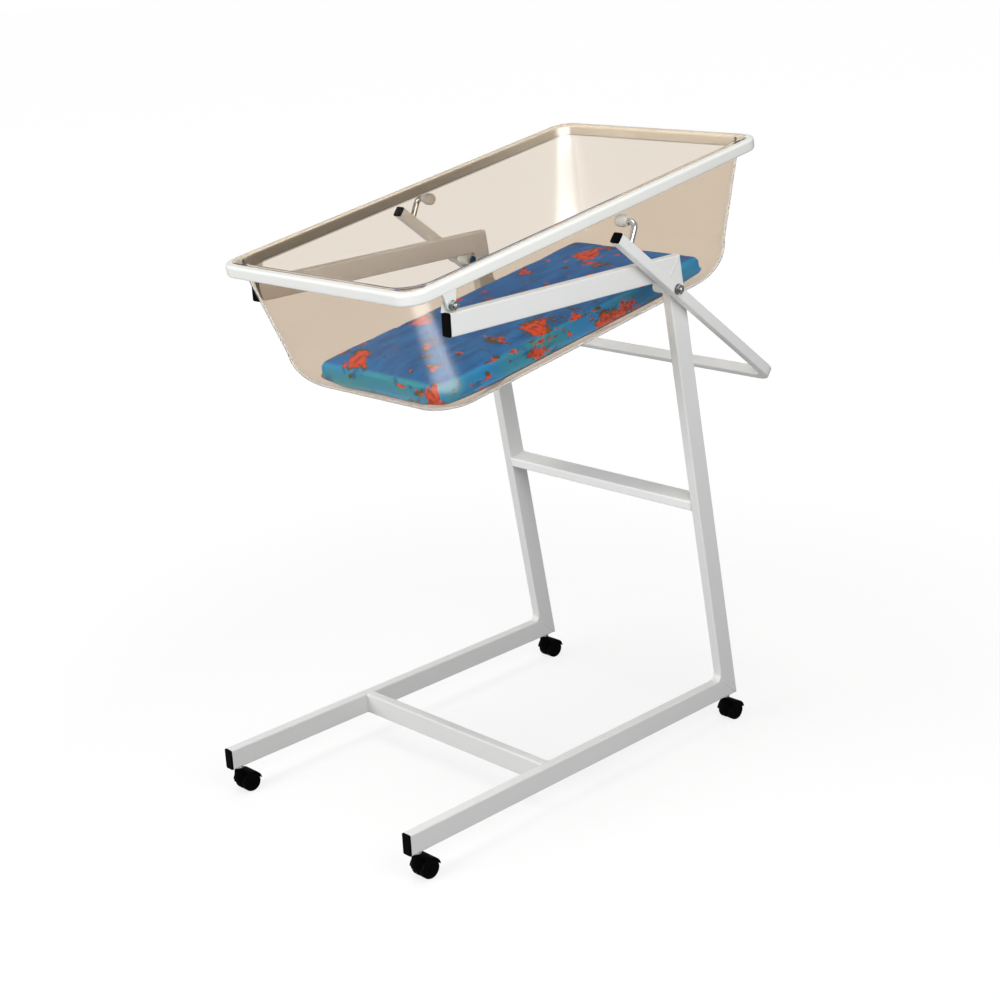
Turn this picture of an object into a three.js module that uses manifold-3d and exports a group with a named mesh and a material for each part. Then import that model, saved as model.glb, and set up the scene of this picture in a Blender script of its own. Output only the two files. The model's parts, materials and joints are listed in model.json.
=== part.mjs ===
// Hospital bassinet: a tinted tub in a white rim, hinged at the front of a cantilever tube frame on castors,
// and raised at its rear by a U-shaped lever whose rollers bear under the rim.
// Millimetres. +X to the right, +Y to the rear, +Z up; the floor is z = 0.
import * as THREE from 'three';
import { mergeVertices } from 'three/addons/utils/BufferGeometryUtils.js';
import Module from 'manifold-3d';

const wasm = await Module();
wasm.setup();

const DEG = Math.PI / 180;

// Clearances
const SEAT_GAP = 0.3; // between pieces that are welded, pressed or seated together
const RUNNING_GAP = 0.25; // radial, between a pin and what turns on it
const PIN_SEGMENTS = 16;

// Side frames: two C-shaped frames of rectangular tube
const FRAME_WIDTH = 524; // over the outer faces of the side frames
const TUBE_DEPTH = 40; // in the plane of the side frame
const TUBE_WIDTH = 20; // across the bassinet
const TUBE_WALL = 1.5;
const TUBE_CORNER = 3;
const FLOOR_RAIL_LENGTH = 871; // from the front cap to the rear lower corner
const TOP_RAIL_LENGTH = 564; // from the front cap to the rear upper corner
const TOP_RAIL_HEIGHT = 958.5; // floor to the top rails' upper faces
const UPRIGHT_LEAN = 9 * DEG; // forwards
const FLOOR_CROSS_RAIL_SETBACK = 334; // from the floor rails' front end
const STRETCHER_HEIGHT = 471.5; // floor to the middle of the rail between the uprights
const CAP_THICKNESS = 3;
const CAP_PLUG = 11;
const CAP_BEVEL = 1.2;

// Castors: twin wheels under a hood, trailing to the rear
const CASTOR_FRONT_SETBACK = 22; // swivel axis from the floor rails' front end
const CASTOR_REAR_SETBACK = 26; // swivel axis from the floor rails' rear end
const CASTOR_WIDTH = 35;
const CASTOR_TRAIL = 17;
const WHEEL_RADIUS = 18.5;
const WHEEL_SEGMENTS = 24;
const WHEEL_GAP = 0.7; // between a wheel, the web and the hood
const WHEEL_FACE = 3.5; // closes the bore on the outside
const WEB_THICKNESS = 5;
const HOOD_WALL = 1.8;
const AXLE_RADIUS = 3;
const STEM_RADIUS = 4.8;
const STEM_INSERTION = 24; // into the floor rail
const STEM_COLLAR_RADIUS = 9;
const STEM_COLLAR_HEIGHT = 2.7;
const STEM_PIN_RADIUS = 3.9;
const STEM_PIN_DEPTH = 13; // into the hood's boss
const BOSS_RADIUS = 8.5; // at its top
const BOSS_FOOT_RADIUS = 12;
const BOSS_LIFT = 12; // above the hood

// Tub, in its own frame: origin on the hinge axis, y along the rim to the rear, z up from the rim
const TUB_TILT = 9.2 * DEG; // rear end raised
const HINGE_SETBACK = 12; // axis behind the top rails' front end
const HINGE_RISE = 11; // axis above the top rails' upper faces
const RIM_OVERHANG = 82; // rim ahead of the hinge axis
const RIM_RISE = 20.2; // rim's underside above the hinge axis
const RIM_LENGTH = 897;
const RIM_SETBACK = 5; // rim's outer faces inside those of the side frames
const RIM_HEIGHT = 22;
const RIM_WALL = 1.8;
const RIM_CORNER = 42;
const RIM_EDGE = 5; // rounding of the rim bar's edges
const VENT_RADIUS = 3;
const TUB_SIDE_CLEARANCE = 3.5; // tub wall to the top rails
const TUB_DEPTH = 236; // below the rim's underside
const TUB_WALL = 4;
const TUB_SIDE_TAPER = 15; // drawn in over the whole depth
const TUB_FRONT_TAPER = 41;
const TUB_REAR_TAPER = 54;
const TUB_FLOOR_RADIUS = 78;
const TUB_CORNER = 55; // plan corner radius at the rim
const TUB_FLOOR_CORNER = 100; // plan corner radius at the floor, before its rounding
const LIP_WIDTH = 5.5; // over the rim
const LIP_THICKNESS = 2;

// Mattress
const MATTRESS_WIDTH = 340;
const MATTRESS_FRONT_GAP = 43; // to the tub's front wall at the start of the floor's rounding
const MATTRESS_REAR_GAP = 40;
const MATTRESS_THICKNESS = 50;
const MATTRESS_CROWN = 5;
const MATTRESS_CORNER = 14;
const MATTRESS_DRAW = 4; // how far its sides draw in between the corners

// Front hinge
const HINGE_BOLT_RADIUS = 4;
const RAIL_EYE_RADIUS = 10.5;
const RAIL_LUG_FOOT = 24;
const RIM_EYE_RADIUS = 9;
const RIM_LUG_FOOT = 30;
const LUG_SPACING = 5; // between the two lugs
const LUG_PLAY = 0.5; // left by the spacer between them
const LUG_INSET = 1; // rail lug from the rail's inner face
const HINGE_HEAD_HEIGHT = 2.8;
const HINGE_NUT_HEIGHT = 8;
const HINGE_NUT_RADIUS = 8; // to its corners
const HINGE_BOLT_TIP = 6; // beyond the nut

// Tilt lever, in its own frame: origin on the pivot axis, y down the arms, z square to them
const LEVER_TUBE = 20;
const LEVER_WALL = 1.5;
const LEVER_CORNER = 3;
const LEVER_SLOPE = 38.2 * DEG; // down to the rear
const LEVER_UPPER = 186; // pivot to the arms' capped ends
const LEVER_LOWER = 358; // pivot to the rear of the cross bar
const LEVER_BEND = 26; // at the middle of the tube
const LEVER_SPACING = 10; // side frame to arm
const BUSH_RADIUS = 11;
const LEVER_BOLT_RADIUS = 5;
const LEVER_HEAD_HEIGHT = 5;
const LEVER_NUT_HEIGHT = 8;
const LEVER_NUT_RADIUS = 9;
const LEVER_BOLT_TIP = 3.5; // beyond the nut

// Rollers on bent rods
const ROD_RADIUS = 5.5;
const ROD_BEND = 12;
const ROD_FOOT = 144; // from the pivot, up the arm
const ROLLER_RADIUS = 11;
const ROLLER_NECK_RADIUS = 8;
const ROLLER_NECK = 8;
const ROLLER_END_CLEARANCE = 1.5; // to the tub's wall
const ROLLER_AHEAD = 94; // axis ahead of the lever's pivot
const ROLLER_CLEARANCE = 5.9; // under the raised rim
const ROLLER_END_WALL = 3;

// Places that follow from the driving dimensions
const HOOD_INNER = WHEEL_RADIUS / Math.cos(Math.PI / WHEEL_SEGMENTS) + WHEEL_GAP;
const HOOD_OUTER = HOOD_INNER + HOOD_WALL;
const BOSS_TOP = WHEEL_RADIUS + HOOD_OUTER + BOSS_LIFT;
const CASTOR_HEIGHT = BOSS_TOP + STEM_COLLAR_HEIGHT + 2 * SEAT_GAP;
const HALF_FRAME = FRAME_WIDTH / 2;
const RAIL_X = HALF_FRAME - TUBE_WIDTH / 2;
const RAIL_INNER_X = HALF_FRAME - TUBE_WIDTH;
const HALF_DEPTH = TUBE_DEPTH / 2;
const FLOOR_RAIL_Z = CASTOR_HEIGHT + HALF_DEPTH;
const TOP_RAIL_Z = TOP_RAIL_HEIGHT - HALF_DEPTH;
const LOWER_TURN = Math.PI / 2 + UPRIGHT_LEAN;
const UPPER_TURN = Math.PI - LOWER_TURN;
const LOWER_CORNER = new THREE.Vector2(
  FLOOR_RAIL_LENGTH - HALF_DEPTH * Math.tan(LOWER_TURN / 2),
  FLOOR_RAIL_Z,
);
const uprightY = (z) => LOWER_CORNER.x - (z - FLOOR_RAIL_Z) * Math.tan(UPRIGHT_LEAN);
const UPPER_CORNER = new THREE.Vector2(uprightY(TOP_RAIL_Z), TOP_RAIL_Z);
const TOP_RAIL_FRONT = UPPER_CORNER.x + HALF_DEPTH * Math.tan(UPPER_TURN / 2) - TOP_RAIL_LENGTH;

const HINGE = new THREE.Vector3(0, TOP_RAIL_FRONT + HINGE_SETBACK, TOP_RAIL_HEIGHT + HINGE_RISE);
const RIM_OUTER_X = HALF_FRAME - RIM_SETBACK;
const TUB_OUTER_X = RAIL_INNER_X - TUB_SIDE_CLEARANCE;
const RIM_INNER_X = TUB_OUTER_X + SEAT_GAP;
const RIM_BAR = RIM_OUTER_X - RIM_INNER_X;

const PIVOT_Z = TOP_RAIL_HEIGHT - TUBE_DEPTH - BUSH_RADIUS - SEAT_GAP;
const PIVOT_Y = uprightY(PIVOT_Z) - (HALF_DEPTH + BUSH_RADIUS + SEAT_GAP) / Math.cos(UPRIGHT_LEAN);
const PIVOT = new THREE.Vector3(0, PIVOT_Y, PIVOT_Z);
const LEVER_INNER_X = HALF_FRAME + LEVER_SPACING;
const LEVER_X = LEVER_INNER_X + LEVER_TUBE / 2;
const LEVER_OUTER_X = LEVER_INNER_X + LEVER_TUBE;

// Materials
const finish = (color, roughness, metalness, extra = {}) => (
  () => new THREE.MeshStandardMaterial({ color, roughness, metalness, ...extra })
);
const whitePaint = finish(0xeeefeb, 0.35, 0.1);
const rimPaint = finish(0xf6f7f1, 0.25, 0.1);
const blackPlastic = finish(0x0c0c0c, 0.5, 0);
const blackTyre = finish(0x101010, 0.7, 0);
const brightMetal = finish(0xc9cbce, 0.2, 1);
const tintedAcrylic = finish(0xd8c6b0, 0.08, 0, { transparent: true, opacity: 0.4 });
const nylon = finish(0xd9d8d3, 0.45, 0);
const blueCover = finish(0x3d70a6, 0.8, 0);

// Solids for cutting and joining
function toSolid(geometry) {
  const bare = new THREE.BufferGeometry();
  bare.setAttribute('position', geometry.getAttribute('position').clone());
  bare.setIndex(geometry.index ? geometry.index.clone() : null);
  const merged = mergeVertices(bare, 1e-4);
  const corners = merged.index.array;
  const triangles = [];
  for (let i = 0; i < corners.length; i += 3) {
    const [a, b, c] = [corners[i], corners[i + 1], corners[i + 2]];
    if (a !== b && b !== c && c !== a) triangles.push(a, b, c);
  }
  return new wasm.Manifold(new wasm.Mesh({
    numProp: 3,
    vertProperties: new Float32Array(merged.getAttribute('position').array),
    triVerts: new Uint32Array(triangles),
  }));
}

function toGeometry(solid) {
  const { vertProperties, triVerts } = solid.getMesh();
  const geometry = new THREE.BufferGeometry();
  geometry.setAttribute('position', new THREE.BufferAttribute(vertProperties, 3));
  geometry.setIndex(new THREE.BufferAttribute(triVerts, 1));
  geometry.computeVertexNormals();
  return geometry;
}

const cut = (base, ...tools) => (
  toGeometry(tools.reduce((solid, tool) => solid.subtract(toSolid(tool)), toSolid(base)))
);
const join = (base, ...pieces) => (
  toGeometry(pieces.reduce((solid, piece) => solid.add(toSolid(piece)), toSolid(base)))
);

// Outlines and bodies
function roundedOutline(x0, x1, y0, y1, radius, cornerSteps = 3, sideSteps = 1) {
  const corners = [
    [x1 - radius, y0 + radius, -90],
    [x1 - radius, y1 - radius, 0],
    [x0 + radius, y1 - radius, 90],
    [x0 + radius, y0 + radius, 180],
  ];
  const arcs = corners.map(([x, y, start]) => Array.from({ length: cornerSteps + 1 }, (_, i) => {
    const angle = (start + (90 * i) / cornerSteps) * DEG;
    return new THREE.Vector2(x + radius * Math.cos(angle), y + radius * Math.sin(angle));
  }));
  return arcs.flatMap((arc, i) => {
    const from = arc[cornerSteps];
    const to = arcs[(i + 1) % 4][0];
    const side = Array.from({ length: sideSteps - 1 }, (_, k) => from.clone().lerp(to, (k + 1) / sideSteps));
    return [...arc, ...side];
  });
}

const centredOutline = (width, height, radius, steps) => (
  roundedOutline(-width / 2, width / 2, -height / 2, height / 2, radius, steps)
);

function circle(radius, segments) {
  return Array.from({ length: segments }, (_, i) => {
    const angle = (2 * Math.PI * i) / segments;
    return new THREE.Vector2(radius * Math.cos(angle), radius * Math.sin(angle));
  });
}

function shapeOf(outline, ...holes) {
  const shape = new THREE.Shape(outline);
  shape.holes = holes.map((hole) => new THREE.Path(hole));
  return shape;
}

const extrude = (shape, depth) => new THREE.ExtrudeGeometry(shape, { depth, bevelEnabled: false });

const tubeSection = (width, depth, wall, corner) => shapeOf(
  centredOutline(width, depth, corner),
  centredOutline(width - 2 * wall, depth - 2 * wall, corner - wall),
);

// A stack of matching outlines, skinned into one body whose two ends are closed flat.
function loft(rings) {
  const count = rings[0].length;
  const points = rings.flat();
  const faces = [];
  for (let ring = 0; ring + 1 < rings.length; ring += 1) {
    for (let i = 0; i < count; i += 1) {
      const a = ring * count + i;
      const b = ring * count + ((i + 1) % count);
      faces.push(a, b, b + count, a, b + count, a + count);
    }
  }
  const centre = (ring) => (
    ring.reduce((sum, point) => sum.add(point), new THREE.Vector3()).divideScalar(count)
  );
  const first = points.push(centre(rings[0])) - 1;
  const last = points.push(centre(rings[rings.length - 1])) - 1;
  const top = (rings.length - 1) * count;
  for (let i = 0; i < count; i += 1) {
    const next = (i + 1) % count;
    faces.push(first, next, i, last, top + i, top + next);
  }
  const geometry = new THREE.BufferGeometry().setFromPoints(points);
  geometry.setIndex(faces);
  geometry.computeVertexNormals();
  return geometry;
}

const raise = (outline, z) => outline.map((point) => new THREE.Vector3(point.x, point.y, z));

// A body turned about Y from a profile of [radius, y] pairs that runs up its outside.
const turned = (profile, segments = PIN_SEGMENTS, start = 0) => new THREE.LatheGeometry(
  profile.map(([radius, y]) => new THREE.Vector2(radius, y)),
  segments,
  start,
);

// A pin along X for cutting holes, from x = from to x = to.
function pinAlongX(radius, from, to, segments = PIN_SEGMENTS) {
  const pin = new THREE.CylinderGeometry(radius, radius, to - from, segments);
  pin.rotateZ(-Math.PI / 2);
  return pin.translate((from + to) / 2, 0, 0);
}

// A route of straight runs whose inner corners are rounded by arcs.
class Route extends THREE.Curve {
  constructor(corners, radius, steps) {
    super();
    this.stations = [corners[0]];
    for (let i = 1; i + 1 < corners.length; i += 1) {
      const before = corners[i].clone().sub(corners[i - 1]).normalize();
      const after = corners[i + 1].clone().sub(corners[i]).normalize();
      const turn = before.angleTo(after);
      const start = corners[i].clone().addScaledVector(before, -radius * Math.tan(turn / 2));
      const inward = after.clone().addScaledVector(before, -Math.cos(turn)).normalize();
      for (let k = 0; k <= steps; k += 1) {
        const angle = (turn * k) / steps;
        const station = start.clone().addScaledVector(before, radius * Math.sin(angle));
        this.stations.push(station.addScaledVector(inward, radius * (1 - Math.cos(angle))));
      }
    }
    this.stations.push(corners[corners.length - 1]);
  }

  getPoint(t, target = new THREE.Vector3()) {
    const along = t * (this.stations.length - 1);
    const index = Math.min(Math.floor(along), this.stations.length - 2);
    return target.lerpVectors(this.stations[index], this.stations[index + 1], along - index);
  }

  getUtoTmapping(u) {
    return u;
  }

  sweep(shape) {
    return new THREE.ExtrudeGeometry(shape, { extrudePath: this, steps: this.stations.length - 1 });
  }
}

// The scene graph
const assembly = new THREE.Group();
const tub = new THREE.Group();
tub.position.copy(HINGE);
tub.rotation.x = TUB_TILT;
const lever = new THREE.Group();
lever.position.copy(PIVOT);
lever.rotation.x = -LEVER_SLOPE;
assembly.add(tub, lever);

function addMesh(parent, name, geometry, material) {
  const mesh = new THREE.Mesh(geometry, material());
  mesh.name = name;
  parent.add(mesh);
  return mesh;
}

const SIDES = [['left', -1], ['right', 1]];

// Side frames

// A frame tube between two points of the side frame's plane, its ends cut to half of each turn.
function frameTube(from, to, startTurn, endTurn) {
  const run = to.clone().sub(from);
  const length = run.length();
  const tube = extrude(tubeSection(TUBE_WIDTH, TUBE_DEPTH, TUBE_WALL, TUBE_CORNER), length);
  const position = tube.getAttribute('position');
  const trim = (turn) => (turn ? SEAT_GAP / 2 / Math.cos(turn / 2) : 0);
  for (let i = 0; i < position.count; i += 1) {
    const across = position.getY(i);
    const atStart = position.getZ(i) < length / 2;
    const mitre = atStart
      ? trim(startTurn) - across * Math.tan(startTurn / 2)
      : length - trim(endTurn) + across * Math.tan(endTurn / 2);
    position.setZ(i, mitre);
  }
  tube.rotateX(run.angle() - Math.PI / 2);
  return tube.translate(0, from.x, from.y);
}

const CAP_SPACE = CAP_THICKNESS + SEAT_GAP;
const FLOOR_RAIL_START = new THREE.Vector2(CAP_SPACE, FLOOR_RAIL_Z);
const TOP_RAIL_END = new THREE.Vector2(TOP_RAIL_FRONT + CAP_SPACE, TOP_RAIL_Z);
const CASTOR_STATIONS = [
  ['front', CASTOR_FRONT_SETBACK],
  ['rear', FLOOR_RAIL_LENGTH - CASTOR_REAR_SETBACK],
];

function stemHole(y) {
  const radius = STEM_RADIUS + SEAT_GAP;
  const hole = new THREE.CylinderGeometry(radius, radius, HALF_DEPTH, PIN_SEGMENTS);
  return hole.rotateX(Math.PI / 2).translate(0, y, CASTOR_HEIGHT);
}

function addSideFrame(side, sign) {
  const rail = cut(
    frameTube(FLOOR_RAIL_START, LOWER_CORNER, 0, LOWER_TURN),
    ...CASTOR_STATIONS.map(([, y]) => stemHole(y)),
  );
  const tubes = {
    floor_rail: rail,
    upright: frameTube(LOWER_CORNER, UPPER_CORNER, LOWER_TURN, UPPER_TURN),
    top_rail: frameTube(UPPER_CORNER, TOP_RAIL_END, UPPER_TURN, 0),
  };
  for (const [name, tube] of Object.entries(tubes)) {
    addMesh(assembly, `${side}_${name}`, tube, whitePaint).position.x = sign * RAIL_X;
  }
}

// A rail across the bassinet between the side frames, with its middle at y, z.
function addCrossRail(name, height, depth, y, z, lean) {
  const length = 2 * (RAIL_INNER_X - SEAT_GAP);
  const tube = extrude(tubeSection(height, depth, TUBE_WALL, TUBE_CORNER), length);
  tube.translate(0, 0, -length / 2).rotateY(Math.PI / 2);
  const mesh = addMesh(assembly, name, tube, whitePaint);
  mesh.position.set(0, y, z);
  mesh.rotation.x = lean;
}

// A plug cap for a tube end: it faces local +Z, and z = 0 is the tube's end.
function plugCap(width, depth, wall, corner) {
  const fit = 2 * (wall + SEAT_GAP);
  const layers = [
    [fit + 2 * CAP_BEVEL, corner - wall - SEAT_GAP, -CAP_PLUG],
    [fit, corner - wall - SEAT_GAP, -CAP_PLUG + CAP_BEVEL],
    [fit, corner - wall - SEAT_GAP, SEAT_GAP],
    [0, corner, SEAT_GAP],
    [0, corner, CAP_SPACE - CAP_BEVEL],
    [CAP_BEVEL, corner - CAP_BEVEL / 2, CAP_SPACE - CAP_BEVEL / 3],
    [2 * CAP_BEVEL, corner - CAP_BEVEL, CAP_SPACE],
  ];
  return loft(layers.map(([inset, radius, z]) => (
    raise(centredOutline(width - inset, depth - inset, radius), z)
  )));
}

for (const [side, sign] of SIDES) {
  addSideFrame(side, sign);
  for (const [name, end] of [['floor_rail_cap', FLOOR_RAIL_START], ['top_rail_cap', TOP_RAIL_END]]) {
    const cap = plugCap(TUBE_WIDTH, TUBE_DEPTH, TUBE_WALL, TUBE_CORNER);
    const mesh = addMesh(assembly, `${side}_${name}`, cap, blackPlastic);
    mesh.position.set(sign * RAIL_X, end.x, end.y);
    mesh.rotation.x = Math.PI / 2;
  }
}
addCrossRail(
  'floor_cross_rail',
  TUBE_DEPTH,
  TUBE_WIDTH,
  FLOOR_CROSS_RAIL_SETBACK + TUBE_WIDTH / 2,
  FLOOR_RAIL_Z,
  0,
);
addCrossRail(
  'upright_cross_rail',
  TUBE_WIDTH,
  TUBE_DEPTH,
  uprightY(STRETCHER_HEIGHT),
  STRETCHER_HEIGHT,
  UPRIGHT_LEAN,
);

// Castors, each in a group on its swivel axis
const WHEEL_INNER_X = WEB_THICKNESS / 2 + WHEEL_GAP;
const WHEEL_WIDTH = CASTOR_WIDTH / 2 - WHEEL_INNER_X;

// Part of a disc about the axle, across the castor's width.
function discSector(outer, inner, from, to, width) {
  const shape = new THREE.Shape();
  shape.absarc(0, 0, outer, from * DEG, to * DEG, false);
  if (inner > 0) shape.absarc(0, 0, inner, to * DEG, from * DEG, true);
  const sector = new THREE.ExtrudeGeometry(shape, { depth: width, bevelEnabled: false, curveSegments: 10 });
  return sector.translate(0, 0, -width / 2).rotateX(Math.PI / 2).rotateZ(Math.PI / 2);
}

function castorHousing() {
  const axleAt = (geometry) => geometry.translate(0, CASTOR_TRAIL, WHEEL_RADIUS);
  const bossBottom = WHEEL_RADIUS + HOOD_INNER / 3;
  const boss = new THREE.CylinderGeometry(BOSS_RADIUS, BOSS_FOOT_RADIUS, BOSS_TOP - bossBottom, PIN_SEGMENTS);
  boss.rotateX(Math.PI / 2).translate(0, 0, (BOSS_TOP + bossBottom) / 2);
  const hood = axleAt(discSector(HOOD_OUTER, HOOD_INNER - WHEEL_GAP / 2, 10, 170, CASTOR_WIDTH));
  const wheelSpace = axleAt(pinAlongX(HOOD_INNER, -CASTOR_WIDTH, CASTOR_WIDTH, 32));
  const web = axleAt(discSector(HOOD_OUTER - HOOD_WALL / 2, 0, -25, 205, WEB_THICKNESS));
  const axleHole = axleAt(pinAlongX(AXLE_RADIUS + SEAT_GAP, -CASTOR_WIDTH, CASTOR_WIDTH, 16));
  const pinHole = new THREE.CylinderGeometry(
    STEM_PIN_RADIUS + RUNNING_GAP,
    STEM_PIN_RADIUS + RUNNING_GAP,
    2 * (STEM_PIN_DEPTH + SEAT_GAP),
    PIN_SEGMENTS,
  );
  pinHole.rotateX(Math.PI / 2).translate(0, 0, BOSS_TOP);
  return cut(join(cut(join(hood, boss), wheelSpace), web), axleHole, pinHole);
}

function castorStem() {
  const collarTop = CASTOR_HEIGHT - SEAT_GAP;
  const stem = turned([
    [0, BOSS_TOP - STEM_PIN_DEPTH],
    [STEM_PIN_RADIUS, BOSS_TOP - STEM_PIN_DEPTH],
    [STEM_PIN_RADIUS, BOSS_TOP + SEAT_GAP],
    [STEM_COLLAR_RADIUS, BOSS_TOP + SEAT_GAP],
    [STEM_COLLAR_RADIUS, collarTop],
    [STEM_RADIUS, collarTop],
    [STEM_RADIUS, CASTOR_HEIGHT + STEM_INSERTION - 1],
    [STEM_RADIUS - 1, CASTOR_HEIGHT + STEM_INSERTION],
    [0, CASTOR_HEIGHT + STEM_INSERTION],
  ]);
  return stem.rotateX(Math.PI / 2);
}

// A wheel turned about its axle, from its inner face out, with a flat of its rim straight down.
function castorWheel(sign) {
  const rim = WHEEL_RADIUS / Math.cos(Math.PI / WHEEL_SEGMENTS);
  const bore = AXLE_RADIUS + RUNNING_GAP;
  const boreEnd = WHEEL_WIDTH - WHEEL_FACE;
  const dish = rim * 0.62;
  const profile = [
    [0, boreEnd],
    [bore, boreEnd],
    [bore, 0],
    [rim, 0],
    [rim, WHEEL_WIDTH - 3.5],
    [rim - 1.1, WHEEL_WIDTH - 1.1],
    [rim - 3.5, WHEEL_WIDTH],
    [dish, WHEEL_WIDTH],
    [dish - 1, WHEEL_WIDTH - 1.2],
    [0, WHEEL_WIDTH - 1.2],
  ];
  const wheel = turned(profile, WHEEL_SEGMENTS, Math.PI / WHEEL_SEGMENTS);
  return wheel.rotateZ((-sign * Math.PI) / 2).translate(sign * WHEEL_INNER_X, 0, 0);
}

for (const [end, y] of CASTOR_STATIONS) {
  for (const [side, sign] of SIDES) {
    const name = `${end}_${side}_castor`;
    const castor = new THREE.Group();
    castor.position.set(sign * RAIL_X, y, 0);
    assembly.add(castor);
    addMesh(castor, `${name}_stem`, castorStem(), brightMetal);
    addMesh(castor, `${name}_housing`, castorHousing(), blackPlastic);
    const axleEnd = CASTOR_WIDTH / 2 - WHEEL_FACE - SEAT_GAP;
    const axle = addMesh(castor, `${name}_axle`, pinAlongX(AXLE_RADIUS, -axleEnd, axleEnd, 16), brightMetal);
    axle.position.set(0, CASTOR_TRAIL, WHEEL_RADIUS);
    for (const [wheelSide, wheelSign] of SIDES) {
      const wheel = addMesh(castor, `${name}_${wheelSide}_wheel`, castorWheel(wheelSign), blackTyre);
      wheel.position.set(0, CASTOR_TRAIL, WHEEL_RADIUS);
    }
  }
}

// Rim: a ring of welded tube with rounded edges and two vent holes in its underside
function rimRing(inset, edge) {
  const outline = (grow, radius) => roundedOutline(
    -RIM_OUTER_X - grow,
    RIM_OUTER_X + grow,
    -RIM_OVERHANG - grow,
    RIM_LENGTH - RIM_OVERHANG + grow,
    radius,
    8,
  );
  const shape = shapeOf(
    outline(-inset, RIM_CORNER - inset),
    outline(inset - RIM_BAR, Math.max(RIM_CORNER - RIM_BAR + inset, 1)),
  );
  const ring = new THREE.ExtrudeGeometry(shape, {
    depth: RIM_HEIGHT - 2 * inset - 2 * edge,
    bevelEnabled: edge > 0,
    bevelThickness: edge,
    bevelSize: edge,
    bevelOffset: -edge,
    bevelSegments: 3,
  });
  return ring.translate(0, 0, RIM_RISE + inset + edge);
}

function ventHole(y) {
  const hole = new THREE.CylinderGeometry(VENT_RADIUS, VENT_RADIUS, RIM_HEIGHT, 12);
  return hole.rotateX(Math.PI / 2).translate(0, y, RIM_RISE);
}

const RIM_FRONT_VENT = -RIM_OVERHANG + RIM_BAR / 2;
const RIM_REAR_VENT = RIM_LENGTH - RIM_OVERHANG - RIM_BAR / 2;
addMesh(
  tub,
  'rim_frame',
  cut(rimRing(0, RIM_EDGE), rimRing(RIM_WALL, 0), ventHole(RIM_FRONT_VENT), ventHole(RIM_REAR_VENT)),
  rimPaint,
);

// Tub: a thermoformed shell that tapers to a well-rounded floor and hangs on the rim by its lip
const TUB_FRONT = -RIM_OVERHANG + RIM_BAR + SEAT_GAP;
const TUB_REAR = RIM_LENGTH - RIM_OVERHANG - RIM_BAR - SEAT_GAP;

// The tub's outline at a depth below the rim's underside, drawn in by inset and by the floor's rounding.
function tubOutline(depth, inset, rounding = 0) {
  const share = Math.max(depth, 0) / TUB_DEPTH;
  const pull = inset + rounding;
  const radius = TUB_CORNER + (TUB_FLOOR_CORNER - TUB_CORNER) * share - inset - rounding / 2;
  return roundedOutline(
    -TUB_OUTER_X + TUB_SIDE_TAPER * share + pull,
    TUB_OUTER_X - TUB_SIDE_TAPER * share - pull,
    TUB_FRONT + TUB_FRONT_TAPER * share + pull,
    TUB_REAR - TUB_REAR_TAPER * share - pull,
    Math.max(radius, 1),
    8,
  );
}

// Outlines from the tub's floor up to the rim, on the outside or, inset by the wall, on the inside.
function tubWall(inset) {
  const straight = TUB_DEPTH - TUB_FLOOR_RADIUS;
  const radius = TUB_FLOOR_RADIUS - inset;
  const rings = [];
  const steps = 8;
  for (let i = steps; i >= 0; i -= 1) {
    const angle = ((Math.PI / 2) * i) / steps;
    const rounding = radius * (1 - Math.cos(angle));
    const depth = straight + radius * Math.sin(angle);
    rings.push(raise(tubOutline(straight, inset, rounding), RIM_RISE - depth));
  }
  rings.push(raise(tubOutline(0, inset), RIM_RISE));
  return rings;
}

const LIP_BOTTOM = RIM_RISE + RIM_HEIGHT + SEAT_GAP;
const LIP_TOP = LIP_BOTTOM + LIP_THICKNESS;
const LIP_EDGE = LIP_THICKNESS / 3;

// The lip's outer outline, reaching over the rim by a width; it also fills the rim's tighter corners.
const lipOutline = (width) => roundedOutline(
  -TUB_OUTER_X - width,
  TUB_OUTER_X + width,
  TUB_FRONT - width,
  TUB_REAR + width,
  Math.max(RIM_CORNER - RIM_BAR, 1) + width,
  8,
);
addMesh(
  tub,
  'tub_shell',
  loft([
    ...tubWall(0),
    raise(tubOutline(0, 0), LIP_BOTTOM),
    raise(lipOutline(LIP_WIDTH), LIP_BOTTOM),
    raise(lipOutline(LIP_WIDTH), LIP_TOP - LIP_EDGE),
    raise(lipOutline(LIP_WIDTH - LIP_EDGE), LIP_TOP),
    raise(tubOutline(0, TUB_WALL - LIP_EDGE), LIP_TOP),
    raise(tubOutline(0, TUB_WALL), LIP_TOP - LIP_EDGE),
    ...tubWall(TUB_WALL).reverse(),
  ]),
  tintedAcrylic,
);

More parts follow.
